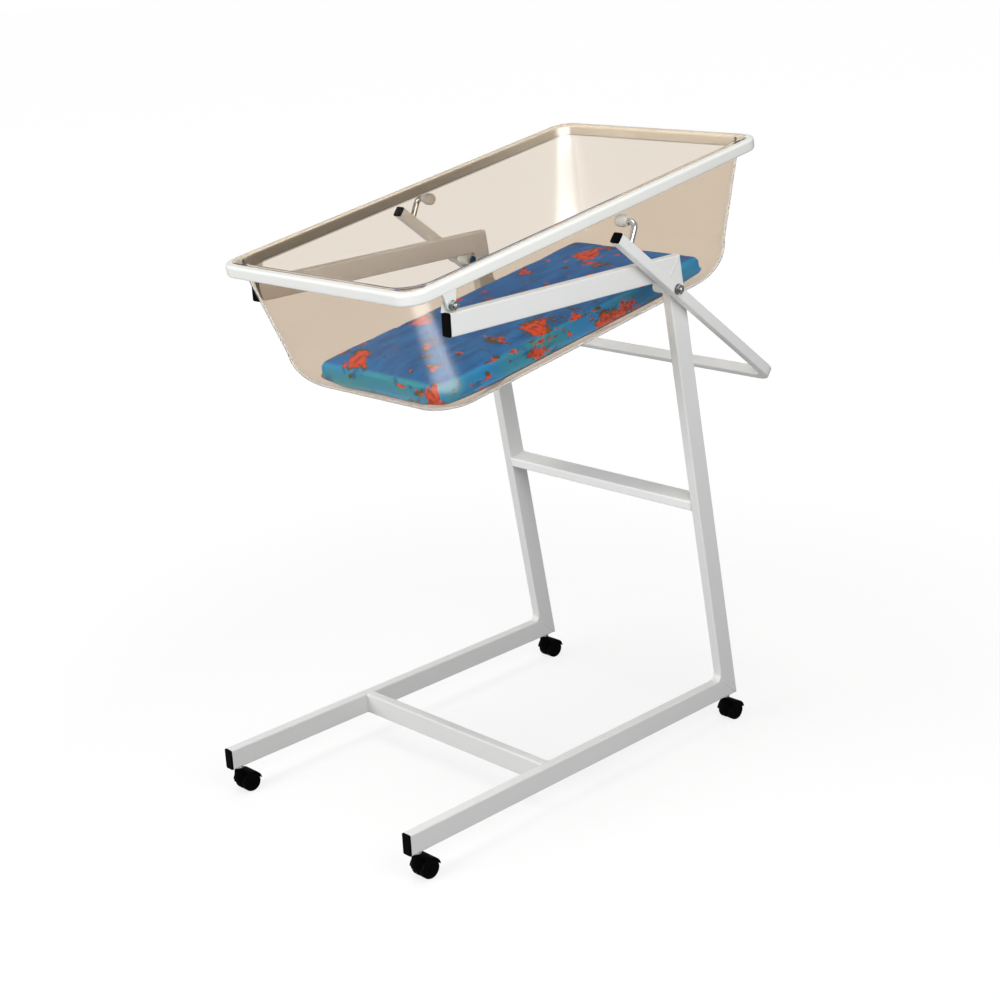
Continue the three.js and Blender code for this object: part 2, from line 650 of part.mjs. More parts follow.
// Mattress: a foam pad in a sewn cover, crowned on top and drawn in along its sides, on the rounded floor
function mattress() {
  const share = (TUB_DEPTH - TUB_FLOOR_RADIUS) / TUB_DEPTH;
  const wallFront = TUB_FRONT + TUB_FRONT_TAPER * share + TUB_WALL;
  const wallRear = TUB_REAR - TUB_REAR_TAPER * share - TUB_WALL;
  const wallX = TUB_OUTER_X - TUB_SIDE_TAPER * share - TUB_WALL;
  const radius = TUB_FLOOR_RADIUS - TUB_WALL;
  const corner = TUB_CORNER + (TUB_FLOOR_CORNER - TUB_CORNER) * share - TUB_WALL - radius / 2;
  const halfWidth = MATTRESS_WIDTH / 2;
  const halfLength = (wallRear - MATTRESS_REAR_GAP - wallFront - MATTRESS_FRONT_GAP) / 2;
  const middle = wallFront + MATTRESS_FRONT_GAP + halfLength;
  const bottom = RIM_RISE - TUB_DEPTH + TUB_WALL + SEAT_GAP;
  const top = bottom + MATTRESS_THICKNESS;
  const floorRise = (x, y) => {
    const overX = Math.abs(x) - (wallX - radius - corner);
    const overY = Math.max(wallFront + radius + corner - y, y - (wallRear - radius - corner));
    const out = Math.hypot(Math.max(overX, 0), Math.max(overY, 0)) - corner;
    const reach = Math.min(Math.max(out, 0) + SEAT_GAP, radius);
    return radius - Math.sqrt(radius * radius - reach * reach) + SEAT_GAP;
  };
  const layer = (inset, z) => {
    const outline = roundedOutline(
      -halfWidth + inset,
      halfWidth - inset,
      -halfLength + inset,
      halfLength - inset,
      Math.max(MATTRESS_CORNER - inset, 8),
      4,
      6,
    );
    return outline.map((point) => {
      const across = point.x / halfWidth;
      const along = point.y / halfLength;
      const x = point.x - MATTRESS_DRAW * (1 - along * along) * across ** 5;
      const y = middle + point.y - MATTRESS_DRAW * (1 - across * across) * along ** 5;
      return new THREE.Vector3(x, y, Math.max(z, bottom + floorRise(x, y)));
    });
  };
  return loft([
    layer(80, bottom),
    layer(30, bottom),
    layer(9, bottom + 0.5),
    layer(3, bottom + 3),
    layer(0.6, bottom + 9),
    layer(0, bottom + MATTRESS_THICKNESS / 2),
    layer(0.6, top - 9),
    layer(3, top - 3),
    layer(9, top - 0.3),
    layer(34, top + MATTRESS_CROWN * 0.45),
    layer(75, top + MATTRESS_CROWN * 0.8),
    layer(120, top + MATTRESS_CROWN),
  ]);
}
addMesh(tub, 'mattress', mattress(), blueCover);

// Front hinge: a lug on each top rail, a lug with a spacer under the rim outside it, and a bolt through both
const RAIL_LUG_X = RAIL_INNER_X + LUG_INSET;
const LUG_THICKNESS = (RIM_OUTER_X - SEAT_GAP - RAIL_LUG_X - LUG_SPACING) / 2;
const RIM_LUG_X = RAIL_LUG_X + LUG_THICKNESS + LUG_SPACING;

// A plate along X with a round eye on the axis and a foot at z = footZ, above or below it.
function hingeLug(footZ, footLength, eye) {
  const shape = new THREE.Shape();
  const half = footLength / 2;
  const sense = Math.sign(footZ);
  const lift = Math.min(Math.abs(footZ), eye) / 3;
  shape.moveTo(-half, footZ);
  shape.lineTo(-half, footZ - sense * lift);
  shape.lineTo(-eye, 0);
  shape.absarc(0, 0, eye, Math.PI, sense * 2 * Math.PI, sense < 0);
  shape.lineTo(half, footZ - sense * lift);
  shape.lineTo(half, footZ);
  const plate = new THREE.ExtrudeGeometry(shape, {
    depth: LUG_THICKNESS,
    bevelEnabled: false,
    curveSegments: 8,
  });
  return plate.rotateX(Math.PI / 2).rotateZ(Math.PI / 2);
}

function railHingeLug() {
  const plate = hingeLug(-HINGE_RISE + SEAT_GAP, RAIL_LUG_FOOT, RAIL_EYE_RADIUS);
  return cut(plate, pinAlongX(HINGE_BOLT_RADIUS + SEAT_GAP, -1, LUG_THICKNESS + 1));
}

// The rim's lug reaches up round the rim's lower edge, and its spacer points to the rail's lug.
function rimHingeLug() {
  const plate = hingeLug(RIM_RISE + RIM_EDGE, RIM_LUG_FOOT, RIM_EYE_RADIUS);
  const spacer = pinAlongX(RIM_EYE_RADIUS * 0.8, LUG_PLAY - LUG_SPACING, LUG_THICKNESS / 2);
  const rim = rimRing(-SEAT_GAP, RIM_EDGE + SEAT_GAP).translate(-RIM_LUG_X, 0, 0);
  const hole = pinAlongX(HINGE_BOLT_RADIUS + RUNNING_GAP, -LUG_SPACING - 1, LUG_THICKNESS + 1);
  return cut(join(plate, spacer), rim, hole);
}

// A hexagon bolt along +X: its head ends at x = 0, where the shank starts.
function bolt(radius, headRadius, headHeight, length) {
  const head = pinAlongX(headRadius, -headHeight, 0, 6);
  const root = -headHeight / 2;
  const shank = turned([[0, root], [radius, root], [radius, length - 1], [radius - 1, length], [0, length]]);
  return join(head, shank.rotateZ(-Math.PI / 2));
}

// A flanged hexagon nut along +X, its flange from x = 0.
function flangeNut(bore, radius, height) {
  const flange = 1.6;
  const ring = pinAlongX(radius * 1.12, 0, flange);
  const hexagon = pinAlongX(radius, flange / 2, height, 6);
  return cut(join(ring, hexagon), pinAlongX(bore, -1, height + 1));
}

// Puts a mesh that points along +X at x on the right, or turned about at -x on the left.
function placeOnSide(mesh, sign, x, y, z) {
  mesh.position.set(sign * x, y, z);
  if (sign < 0) mesh.rotation.z = Math.PI;
}

for (const [side, sign] of SIDES) {
  const addToHinge = (name, geometry, material, x) => {
    placeOnSide(addMesh(assembly, `${side}_${name}`, geometry, material), sign, x, HINGE.y, HINGE.z);
  };
  const nutX = RIM_LUG_X + LUG_THICKNESS + SEAT_GAP;
  const shank = nutX + HINGE_NUT_HEIGHT + HINGE_BOLT_TIP - RAIL_LUG_X + SEAT_GAP;
  const hingeBolt = bolt(HINGE_BOLT_RADIUS, HINGE_NUT_RADIUS, HINGE_HEAD_HEIGHT, shank);
  const hingeNut = flangeNut(HINGE_BOLT_RADIUS + SEAT_GAP, HINGE_NUT_RADIUS, HINGE_NUT_HEIGHT);
  addToHinge('rail_hinge_lug', railHingeLug(), whitePaint, RAIL_LUG_X);
  addToHinge('hinge_bolt', hingeBolt, brightMetal, RAIL_LUG_X - SEAT_GAP);
  addToHinge('hinge_nut', hingeNut, brightMetal, nutX);
  placeOnSide(addMesh(tub, `${side}_rim_hinge_lug`, rimHingeLug(), whitePaint), sign, RIM_LUG_X, 0, 0);
}

// Lever: one bent tube outside the side frames, its cross bar behind the uprights
const LEVER_BAR_Y = LEVER_LOWER - LEVER_TUBE / 2;
const LEVER_END_Y = -LEVER_UPPER + CAP_SPACE;
const leverRoute = new Route([
  new THREE.Vector3(-LEVER_X, LEVER_END_Y, 0),
  new THREE.Vector3(-LEVER_X, LEVER_BAR_Y, 0),
  new THREE.Vector3(LEVER_X, LEVER_BAR_Y, 0),
  new THREE.Vector3(LEVER_X, LEVER_END_Y, 0),
], LEVER_BEND, 6);
addMesh(
  lever,
  'tilt_lever',
  cut(
    leverRoute.sweep(tubeSection(LEVER_TUBE, LEVER_TUBE, LEVER_WALL, LEVER_CORNER)),
    pinAlongX(LEVER_BOLT_RADIUS + RUNNING_GAP, -LEVER_OUTER_X - 1, LEVER_OUTER_X + 1),
  ),
  whitePaint,
);

// Roller axis, in the lever's frame: ahead of the pivot and just under the raised rim
const ROLLER_WORLD_Y = PIVOT.y - ROLLER_AHEAD;
const ROLLER_BELOW_HINGE_LINE = RIM_RISE - ROLLER_RADIUS - ROLLER_CLEARANCE;
const ROLLER_WORLD_Z = HINGE.z
  + ((ROLLER_WORLD_Y - HINGE.y) * Math.sin(TUB_TILT) + ROLLER_BELOW_HINGE_LINE) / Math.cos(TUB_TILT);
const ROLLER_AXIS = new THREE.Vector3(0, ROLLER_WORLD_Y, ROLLER_WORLD_Z)
  .sub(PIVOT)
  .applyAxisAngle(new THREE.Vector3(1, 0, 0), LEVER_SLOPE);
const ROLLER_INNER_X = TUB_OUTER_X + ROLLER_END_CLEARANCE;
const ROLLER_OUTER_X = RIM_OUTER_X + ROLLER_NECK;
const ROD_END_X = ROLLER_INNER_X + ROLLER_END_WALL + SEAT_GAP;

function rollerRod(sign) {
  const route = new Route([
    new THREE.Vector3(sign * LEVER_X, -ROD_FOOT, 0),
    new THREE.Vector3(sign * LEVER_X, ROLLER_AXIS.y, ROLLER_AXIS.z),
    new THREE.Vector3(sign * ROD_END_X, ROLLER_AXIS.y, ROLLER_AXIS.z),
  ], ROD_BEND, 6);
  const armSide = LEVER_TUBE + 2 * SEAT_GAP;
  const arm = new THREE.BoxGeometry(armSide, 2 * LEVER_UPPER, armSide);
  arm.translate(sign * LEVER_X, -LEVER_UPPER, 0);
  return cut(route.sweep(shapeOf(circle(ROD_RADIUS, 14))), arm);
}

// A roller along +X from its rounded free end, its bore open at the neck.
function roller() {
  const length = ROLLER_OUTER_X - ROLLER_INNER_X;
  const bore = ROD_RADIUS + RUNNING_GAP;
  const body = turned([
    [0, 0],
    [ROLLER_RADIUS - 4, 0],
    [ROLLER_RADIUS - 1.2, 1.2],
    [ROLLER_RADIUS, 4],
    [ROLLER_RADIUS, length - ROLLER_NECK - 2],
    [ROLLER_NECK_RADIUS, length - ROLLER_NECK + 2],
    [ROLLER_NECK_RADIUS, length],
    [bore, length],
    [bore, ROLLER_END_WALL],
    [0, ROLLER_END_WALL],
  ], 20);
  return body.rotateZ(-Math.PI / 2);
}

for (const [side, sign] of SIDES) {
  const addToPivot = (name, geometry, material, x) => {
    placeOnSide(addMesh(assembly, `${side}_${name}`, geometry, material), sign, x, PIVOT.y, PIVOT.z);
  };
  const bushEnd = LEVER_INNER_X - SEAT_GAP - RAIL_INNER_X;
  const bush = turned([
    [LEVER_BOLT_RADIUS + SEAT_GAP, 0],
    [BUSH_RADIUS, 0],
    [BUSH_RADIUS, bushEnd],
    [LEVER_BOLT_RADIUS + SEAT_GAP, bushEnd],
    [LEVER_BOLT_RADIUS + SEAT_GAP, 0],
  ]).rotateZ(-Math.PI / 2);
  const nutX = LEVER_OUTER_X + SEAT_GAP;
  const boltX = RAIL_INNER_X - SEAT_GAP;
  const shank = nutX + LEVER_NUT_HEIGHT + LEVER_BOLT_TIP - boltX;
  const leverBolt = bolt(LEVER_BOLT_RADIUS, LEVER_NUT_RADIUS, LEVER_HEAD_HEIGHT, shank);
  const leverNut = flangeNut(LEVER_BOLT_RADIUS + SEAT_GAP, LEVER_NUT_RADIUS, LEVER_NUT_HEIGHT);
  addToPivot('lever_bush', bush, whitePaint, RAIL_INNER_X);
  addToPivot('lever_bolt', leverBolt, brightMetal, boltX);
  addToPivot('lever_nut', leverNut, brightMetal, nutX);

  const cap = plugCap(LEVER_TUBE, LEVER_TUBE, LEVER_WALL, LEVER_CORNER);
  const capMesh = addMesh(lever, `${side}_lever_cap`, cap, blackPlastic);
  capMesh.position.set(sign * LEVER_X, LEVER_END_Y, 0);
  capMesh.rotation.x = Math.PI / 2;
  addMesh(lever, `${side}_roller_rod`, rollerRod(sign), brightMetal);
  const rollerMesh = addMesh(lever, `${side}_roller`, roller(), nylon);
  placeOnSide(rollerMesh, sign, ROLLER_INNER_X, ROLLER_AXIS.y, ROLLER_AXIS.z);
}

// The origin: on the floor, under the middle of the whole bassinet
assembly.updateMatrixWorld(true);
const extent = new THREE.Box3().setFromObject(assembly, true);
assembly.position.y = -(extent.min.y + extent.max.y) / 2;

export default assembly;
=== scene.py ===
import json
import math

import bmesh
import bpy
from mathutils import Matrix, Vector, noise as field
from mathutils.bvhtree import BVHTree


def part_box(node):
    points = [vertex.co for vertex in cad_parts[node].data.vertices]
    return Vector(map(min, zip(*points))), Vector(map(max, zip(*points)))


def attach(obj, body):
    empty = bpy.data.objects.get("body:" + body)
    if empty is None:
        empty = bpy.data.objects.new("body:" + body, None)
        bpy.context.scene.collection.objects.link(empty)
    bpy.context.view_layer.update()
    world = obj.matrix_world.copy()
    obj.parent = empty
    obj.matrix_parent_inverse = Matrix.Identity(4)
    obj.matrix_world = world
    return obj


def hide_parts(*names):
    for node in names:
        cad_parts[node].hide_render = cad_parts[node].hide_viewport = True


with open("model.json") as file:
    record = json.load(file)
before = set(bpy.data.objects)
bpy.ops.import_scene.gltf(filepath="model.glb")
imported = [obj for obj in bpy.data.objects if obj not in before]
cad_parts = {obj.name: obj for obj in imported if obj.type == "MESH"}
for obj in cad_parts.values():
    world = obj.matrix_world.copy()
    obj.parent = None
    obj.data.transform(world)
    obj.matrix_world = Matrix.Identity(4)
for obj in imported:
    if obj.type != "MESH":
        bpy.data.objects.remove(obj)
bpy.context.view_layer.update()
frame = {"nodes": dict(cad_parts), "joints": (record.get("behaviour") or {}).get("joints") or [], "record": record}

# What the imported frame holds. Lengths are in millimetres unless a line says otherwise.
MM = 0.001
NODES = frame["nodes"]
SLOT_OF = {entry["node"]: entry["material_slot"] for entry in frame["record"]["subparts"]}
BODIES = frame["record"]["behaviour"]["bodies"]
BODY_OF = {node: body for body, nodes in BODIES.items() for node in nodes}
AXES = {joint["name"]: Vector(joint["pos_m"]) / MM for joint in frame["joints"]}
SIDES = (("left", -1), ("right", 1))
HINGE = AXES["tub_tilt"]
PIVOT = AXES["lever_turn"]


def box(node):
    """A node's lowest and highest corner."""
    return [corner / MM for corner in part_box(node)]


RAIL_LOW, RAIL_HIGH = box("right_floor_rail")
TOP_RAIL_HIGH = box("right_top_rail")[1]
TUBE_WIDTH = RAIL_HIGH.x - RAIL_LOW.x
TUBE_DEPTH = RAIL_HIGH.z - RAIL_LOW.z
HALF_FRAME = RAIL_HIGH.x
RAIL_X = HALF_FRAME - TUBE_WIDTH / 2
RAIL_INNER_X = RAIL_LOW.x

# Sizes and angles that the boxes don't show, as in the part's source
GAP = 0.3
TUBE_CORNER = 3.0
UPRIGHT_LEAN = math.radians(9)
TUB_TILT = math.radians(9.2)
LEVER_SLOPE = math.radians(38.2)
LEVER_X = HALF_FRAME + 20.0
LEVER_TUBE = 20.0
ROD_FOOT = -144.0

RIM_OUTER_X = HALF_FRAME - 5.0
RIM_OVERHANG = 82.0
RIM_RISE = 20.2
RIM_LENGTH = 897.0
RIM_HEIGHT = 22.0
RIM_CORNER = 42.0
RIM_EDGE = 5.0
TUB_OUTER_X = RAIL_INNER_X - 3.5
RIM_BAR = RIM_OUTER_X - TUB_OUTER_X - GAP
TUB_DEPTH = 236.0
TUB_WALL = 4.0
TUB_SIDE_TAPER = 15.0
TUB_FRONT_TAPER = 41.0
TUB_REAR_TAPER = 54.0
TUB_FLOOR_RADIUS = 78.0
TUB_CORNER = 55.0
TUB_FLOOR_CORNER = 100.0
LIP_WIDTH = 5.5
LIP_THICKNESS = 2.0

# The tub's frame at its hinge, the lever's at its pivot, and the part's own
TUB = Matrix.Translation(HINGE) @ Matrix.Rotation(TUB_TILT, 4, "X")
LEVER = Matrix.Translation(PIVOT) @ Matrix.Rotation(-LEVER_SLOPE, 4, "X")
STAND = Matrix.Identity(4)


# Meshes
WELD_PITCH = 2.2
WELD_RIPPLE = 0.12


def mesh_object(name, points, faces, material, place=STAND):
    """A new smooth object from points that place puts in the part's frame."""
    mesh = bpy.data.meshes.new(name)
    mesh.from_pydata([MM * (place @ Vector(p)) for p in points], [], faces)
    mesh.validate()
    mesh.shade_smooth()
    mesh.materials.append(material)
    obj = bpy.data.objects.new(name, mesh)
    bpy.context.scene.collection.objects.link(obj)
    return obj


def weighted(obj):
    """Keeps large flat faces flat in shading beside small rounded ones."""
    modifier = obj.modifiers.new("weighted_normals", "WEIGHTED_NORMAL")
    modifier.weight = 100
    return obj


def applied(obj):
    """Puts what the modifiers make of an object into its own mesh."""
    evaluated = obj.evaluated_get(bpy.context.evaluated_depsgraph_get())
    mesh = bpy.data.meshes.new_from_object(evaluated)
    obj.modifiers.clear()
    obj.data = mesh
    return obj


def carry(obj, body, slot, *nodes):
    """Attaches a piece to the body that carries it and hides the nodes that it stands for; its slot is not used.
    """
    if nodes:
        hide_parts(*nodes)
    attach(obj, body)
    return obj


def rounded_outline(x0, x1, y0, y1, radius, steps, side_steps=1):
    """A rectangle with rounded corners, of steps pieces to a corner and side_steps to a side."""
    corners = (
        (x1 - radius, y0 + radius, -90),
        (x1 - radius, y1 - radius, 0),
        (x0 + radius, y1 - radius, 90),
        (x0 + radius, y0 + radius, 180),
    )
    arcs = []
    for x, y, start in corners:
        angles = [math.radians(start + 90 * i / steps) for i in range(steps + 1)]
        arcs.append([Vector((x + radius * math.cos(a), y + radius * math.sin(a))) for a in angles])
    outline = []
    for i, arc in enumerate(arcs):
        following = arcs[(i + 1) % 4][0]
        outline += arc
        outline += [arc[-1].lerp(following, k / side_steps) for k in range(1, side_steps)]
    return outline


def at_height(outline, z):
    return [(x, y, z) for x, y in outline]


def skin(rings, close_rings=False):
    """Points and faces over a row of matching rings, closed at both ends or into a loop."""
    count = len(rings[0])
    total = len(rings)
    faces = []
    for r in range(total if close_rings else total - 1):
        s = (r + 1) % total
        for i in range(count):
            j = (i + 1) % count
            faces.append((r * count + i, r * count + j, s * count + j, s * count + i))
    if not close_rings:
        faces.append(tuple(reversed(range(count))))
        faces.append(tuple(range((total - 1) * count, total * count)))
    return [p for ring in rings for p in ring], faces


def bead(path, radius, sides=8, closed=True, ripple=0.0):
    """Points and faces of a round bead along a path, with a weld's ripples if asked for."""
    points = [Vector(p) for p in path]
    count = len(points)
    rings = []
    normal = None
    run = 0.0
    for i, p in enumerate(points):
        before = points[i - 1] if closed or i else p
        after = points[(i + 1) % count] if closed or i + 1 < count else p
        tangent = (after - before).normalized()
        if normal is None:
            seed = Vector((1, 0, 0)) if abs(tangent.x) < 0.7 else Vector((0, 1, 0))
            normal = tangent.cross(seed)
        normal = (normal - tangent * normal.dot(tangent)).normalized()
        side = tangent.cross(normal)
        if i:
            run += (p - points[i - 1]).length
        reach = radius * (1 + ripple * math.sin(2 * math.pi * run / WELD_PITCH))
        turns = [2 * math.pi * k / sides for k in range(sides)]
        rings.append([p + reach * (normal * math.cos(t) + side * math.sin(t)) for t in turns])
    return skin(rings, close_rings=closed)


def turned(profile, segments=32):
    """Points and faces of a body turned about X from (x, radius) pairs."""
    turns = [2 * math.pi * k / segments for k in range(segments)]
    return skin([[(x, r * math.cos(t), r * math.sin(t)) for t in turns] for x, r in profile])


# Materials. A Mix node's sockets for colours go by their places.
MIX_FACTOR, MIX_A, MIX_B, MIX_RESULT = 0, 6, 7, 2


def new_material(name):
    material = bpy.data.materials.new(name)
    material.use_nodes = True
    tree = material.node_tree
    return material, tree, tree.nodes["Principled BSDF"]


def node(tree, kind, **values):
    """A node whose sockets are set by their names and whose properties by theirs."""
    made = tree.nodes.new(kind)
    for key, value in values.items():
        if key in made.inputs:
            made.inputs[key].default_value = value
        else:
            setattr(made, key, value)
    return made


def put(made, values):
    """Sets a node's sockets by their names."""
    for key, value in values.items():
        made.inputs[key].default_value = value


def feed(tree, socket, value):
    """Links a socket to another node's output, or sets it to a number or a colour."""
    if isinstance(value, bpy.types.NodeSocket):
        tree.links.new(value, socket)
    elif isinstance(value, (int, float)):
        socket.default_value = value
    else:
        socket.default_value = (*value, 1)


def object_coords(tree):
    return node(tree, "ShaderNodeTexCoord").outputs["Object"]


def noise(tree, scale, detail=2.0, roughness=0.5, coords=None):
    made = node(tree, "ShaderNodeTexNoise", Scale=scale, Detail=detail, Roughness=roughness)
    tree.links.new(coords or object_coords(tree), made.inputs["Vector"])
    return made.outputs["Fac"]


def spread(tree, value, low, high, from_low=0.3, from_high=0.7):
    """A value stretched, within its limits, to run from low to high."""
    made = node(tree, "ShaderNodeMapRange")
    put(made, {"From Min": from_low, "From Max": from_high, "To Min": low, "To Max": high})
    tree.links.new(value, made.inputs["Value"])
    return made.outputs["Result"]


def math_node(tree, operation, a, b):
    made = node(tree, "ShaderNodeMath", operation=operation)
    feed(tree, made.inputs[0], a)
    feed(tree, made.inputs[1], b)
    return made.outputs[0]


def mix_colour(tree, factor, a, b):
    made = node(tree, "ShaderNodeMix", data_type="RGBA")
    feed(tree, made.inputs[MIX_FACTOR], factor)
    feed(tree, made.inputs[MIX_A], a)
    feed(tree, made.inputs[MIX_B], b)
    return made.outputs[MIX_RESULT]


def bump(tree, bsdf, height, strength, distance):
    made = node(tree, "ShaderNodeBump", Strength=strength, Distance=distance)
    tree.links.new(height, made.inputs["Height"])
    tree.links.new(made.outputs["Normal"], bsdf.inputs["Normal"])


def shade(colour, factor):
    return tuple(c * factor for c in colour)


def above(tree, value, limit, soft):
    """1 where a value is above a limit and 0 below it, with a soft edge."""
    return spread(tree, value, 0.0, 1.0, limit - soft, limit + soft)


def surface(
    name, colour, roughness, metallic=0.0,
    grain=900.0, depth=0.00004, patch=7.0, vary=0.05, shine=0.5,
):
    """A finish with patches of slightly other colour and gloss, and a fine grain.

    Grain and patch are the scales of noises, and depth is the grain's height in metres.
    """
    material, tree, bsdf = new_material(name)
    uneven = mix_colour(tree, noise(tree, patch, 4.0, 0.6), shade(colour, 1 - vary), colour)
    gloss = spread(tree, noise(tree, patch * 5, 3.0), roughness * 0.85, roughness * 1.2)
    tree.links.new(uneven, bsdf.inputs["Base Color"])
    tree.links.new(gloss, bsdf.inputs["Roughness"])
    put(bsdf, {"Metallic": metallic, "Specular IOR Level": shine})
    bump(tree, bsdf, noise(tree, grain, 2.0), 0.4, depth)
    return material


ACRYLIC_LOOK = {
    "Transmission Weight": 1.0,
    "IOR": 1.1,
    "Coat Weight": 0.6,
    "Coat IOR": 1.3,
    "Coat Roughness": 0.3,
}
# What a surface of the acrylic lets through into the shadow, besides its tint
SURFACE_LOSS = 0.86


def acrylic(name, tint, collar_shade_tint):
    """Clear acrylic that the lamps shine through, with painted shade: a deeper tint at the collar in the rim
    darkens the rim's inner face behind it.
    """
    material, tree, bsdf = new_material(name)
    collar_shade = node(tree, "ShaderNodeAttribute", attribute_name="collar_shade").outputs["Fac"]
    uneven = mix_colour(tree, noise(tree, 3.0), shade(tint, 0.985), tint)
    # The collar's deeper tint is painted shade, darkest at the front of the rim
    tree.links.new(mix_colour(tree, collar_shade, uneven, collar_shade_tint), bsdf.inputs["Base Color"])
    tree.links.new(spread(tree, noise(tree, 30.0, 3.0), 0.01, 0.03), bsdf.inputs["Roughness"])
    put(bsdf, ACRYLIC_LOOK)
    bump(tree, bsdf, noise(tree, 9.0, 1.0), 0.05, 0.0008)
    clear = node(tree, "ShaderNodeBsdfTransparent")
    feed(tree, clear.inputs["Color"], [SURFACE_LOSS * math.sqrt(c) for c in tint])
    mixed = node(tree, "ShaderNodeMixShader")
    tree.links.new(node(tree, "ShaderNodeLightPath").outputs["Is Shadow Ray"], mixed.inputs[0])
    tree.links.new(bsdf.outputs[0], mixed.inputs[1])
    tree.links.new(clear.outputs[0], mixed.inputs[2])
    tree.links.new(mixed.outputs[0], tree.nodes["Material Output"].inputs["Surface"])
    return material


# The print's colours, its strokes' stretch, and how far down a side its top ends, in metres
BLUE = (0.008, 0.175, 0.530)
DEEP_BLUE = (0.006, 0.100, 0.360)
TEAL = (0.030, 0.350, 0.410)
AZURE = (0.006, 0.300, 0.840)
ORANGE = (0.800, 0.075, 0.006)
DEEP_ORANGE = (0.300, 0.022, 0.006)
OLIVE = (0.060, 0.065, 0.006)
BRUSH = (1.0, 0.28, 1.0)
EDGE_DOWN = (0.002, 0.006)
COVER_LOOK = {"Roughness": 0.7, "Specular IOR Level": 0.25, "Sheen Weight": 0.05}
WEAVE_SCALE = 240.0


def patches(tree, place, scale, detail, limit, soft):
    """A mask that is 1 in patches of the print."""
    return above(tree, noise(tree, scale, detail, coords=place), limit, soft)


def brushed_ground(tree, place):
    """Blue brush strokes on the top, and teal and azure down the sides."""
    depth = node(tree, "ShaderNodeSeparateXYZ")
    tree.links.new(place, depth.inputs[0])
    down = spread(tree, depth.outputs["Z"], 0.0, 1.0, *EDGE_DOWN)
    brushed = node(tree, "ShaderNodeVectorMath", operation="MULTIPLY")
    tree.links.new(place, brushed.inputs[0])
    brushed.inputs[1].default_value = BRUSH
    strokes = noise(tree, 40.0, 4.0, 0.6, coords=brushed.outputs[0])
    top = mix_colour(tree, above(tree, strokes, 0.5, 0.12), DEEP_BLUE, BLUE)
    side = mix_colour(tree, patches(tree, place, 6.0, 3.0, 0.47, 0.12), TEAL, AZURE)
    side = mix_colour(tree, above(tree, strokes, 0.62, 0.06), side, DEEP_BLUE)
    return mix_colour(tree, down, top, side)


def splashed(tree, place, colour):
    """A colour with ragged orange splashes edged with olive leaves, and specks of both."""
    fine = math_node(tree, "MULTIPLY", noise(tree, 130.0, 3.0, 0.7, coords=place), 0.22)
    ragged = math_node(tree, "MULTIPLY", noise(tree, 45.0, 2.0, 0.6, coords=place), 0.30)
    ragged = math_node(tree, "ADD", ragged, fine)
    splash = math_node(tree, "ADD", noise(tree, 11.0, 1.0, 0.4, coords=place), ragged)
    specks = math_node(tree, "ADD", noise(tree, 34.0, 1.0, 0.4, coords=place), fine)
    leaves = math_node(tree, "ADD", noise(tree, 24.0, 2.0, coords=place), ragged)
    round_splash = above(tree, splash, 0.845, 0.012)
    leafy = math_node(tree, "MULTIPLY", round_splash, above(tree, leaves, 0.77, 0.03))
    colour = mix_colour(tree, leafy, colour, OLIVE)
    orange = mix_colour(tree, patches(tree, place, 95.0, 2.0, 0.46, 0.08), DEEP_ORANGE, ORANGE)
    spots = mix_colour(tree, patches(tree, place, 20.0, 1.0, 0.5, 0.02), OLIVE, orange)
    colour = mix_colour(tree, above(tree, specks, 0.80, 0.015), colour, spots)
    return mix_colour(tree, above(tree, splash, 0.885, 0.012), colour, orange)


def wave(tree, place, direction):
    made = node(tree, "ShaderNodeTexWave", bands_direction=direction, Scale=WEAVE_SCALE)
    tree.links.new(place, made.inputs["Vector"])
    return made.outputs["Fac"]


def printed_cover():
    """Woven cotton with a print that wraps from the top down the sides."""
    material, tree, bsdf = new_material("printed_cover")
    place = node(tree, "ShaderNodeAttribute", attribute_name="print").outputs["Vector"]
    colour = splashed(tree, place, brushed_ground(tree, place))
    threads = spread(tree, noise(tree, 900.0, 2.0, coords=place), 0.86, 1.0)
    made = node(tree, "ShaderNodeVectorMath", operation="SCALE")
    tree.links.new(colour, made.inputs[0])
    tree.links.new(threads, made.inputs["Scale"])
    tree.links.new(made.outputs[0], bsdf.inputs["Base Color"])
    put(bsdf, COVER_LOOK)
    weave = math_node(tree, "MULTIPLY", wave(tree, place, "X"), wave(tree, place, "Y"))
    creases = math_node(tree, "MULTIPLY", noise(tree, 26.0, 3.0, coords=place), 6.0)
    bump(tree, bsdf, math_node(tree, "ADD", weave, creases), 0.35, 0.0004)
    return material


WHITE_PAINT = surface("white_powder_coat", (0.80, 0.81, 0.80), 0.34, grain=520.0, depth=0.00005)
RIM_PAINT = surface("white_gloss_rim", (0.86, 0.87, 0.84), 0.22, grain=420.0, depth=0.00003)
BLACK_PLASTIC = surface(
    "black_moulded_plastic", (0.002, 0.002, 0.002), 0.5, grain=1500.0, vary=0.3, shine=0.03
)
BLACK_TREAD = surface(
    "black_castor_tread", (0.003, 0.003, 0.003), 0.55,
    grain=1100.0, depth=0.00008, vary=0.4, shine=0.03,
)
BRIGHT = surface(
    "bright_plated_steel", (0.50, 0.51, 0.52), 0.12, 1.0, grain=1600.0, depth=0.00002, patch=60.0
)
STEEL = surface(
    "zinc_plated_steel", (0.62, 0.62, 0.60), 0.28, 1.0, grain=1400.0, depth=0.00003, patch=40.0
)
NYLON = surface("off_white_nylon", (0.66, 0.65, 0.61), 0.42, grain=1300.0, vary=0.08)
NAVY_WELT = surface(
    "navy_welt", (0.010, 0.035, 0.110), 0.7, grain=1800.0, depth=0.0001, patch=90.0, vary=0.3
)
# The second tint is the collar's painted shade on the rim's inner face
ACRYLIC = acrylic("tinted_acrylic", (0.80, 0.725, 0.640), (0.38, 0.335, 0.285))
COVER = printed_cover()

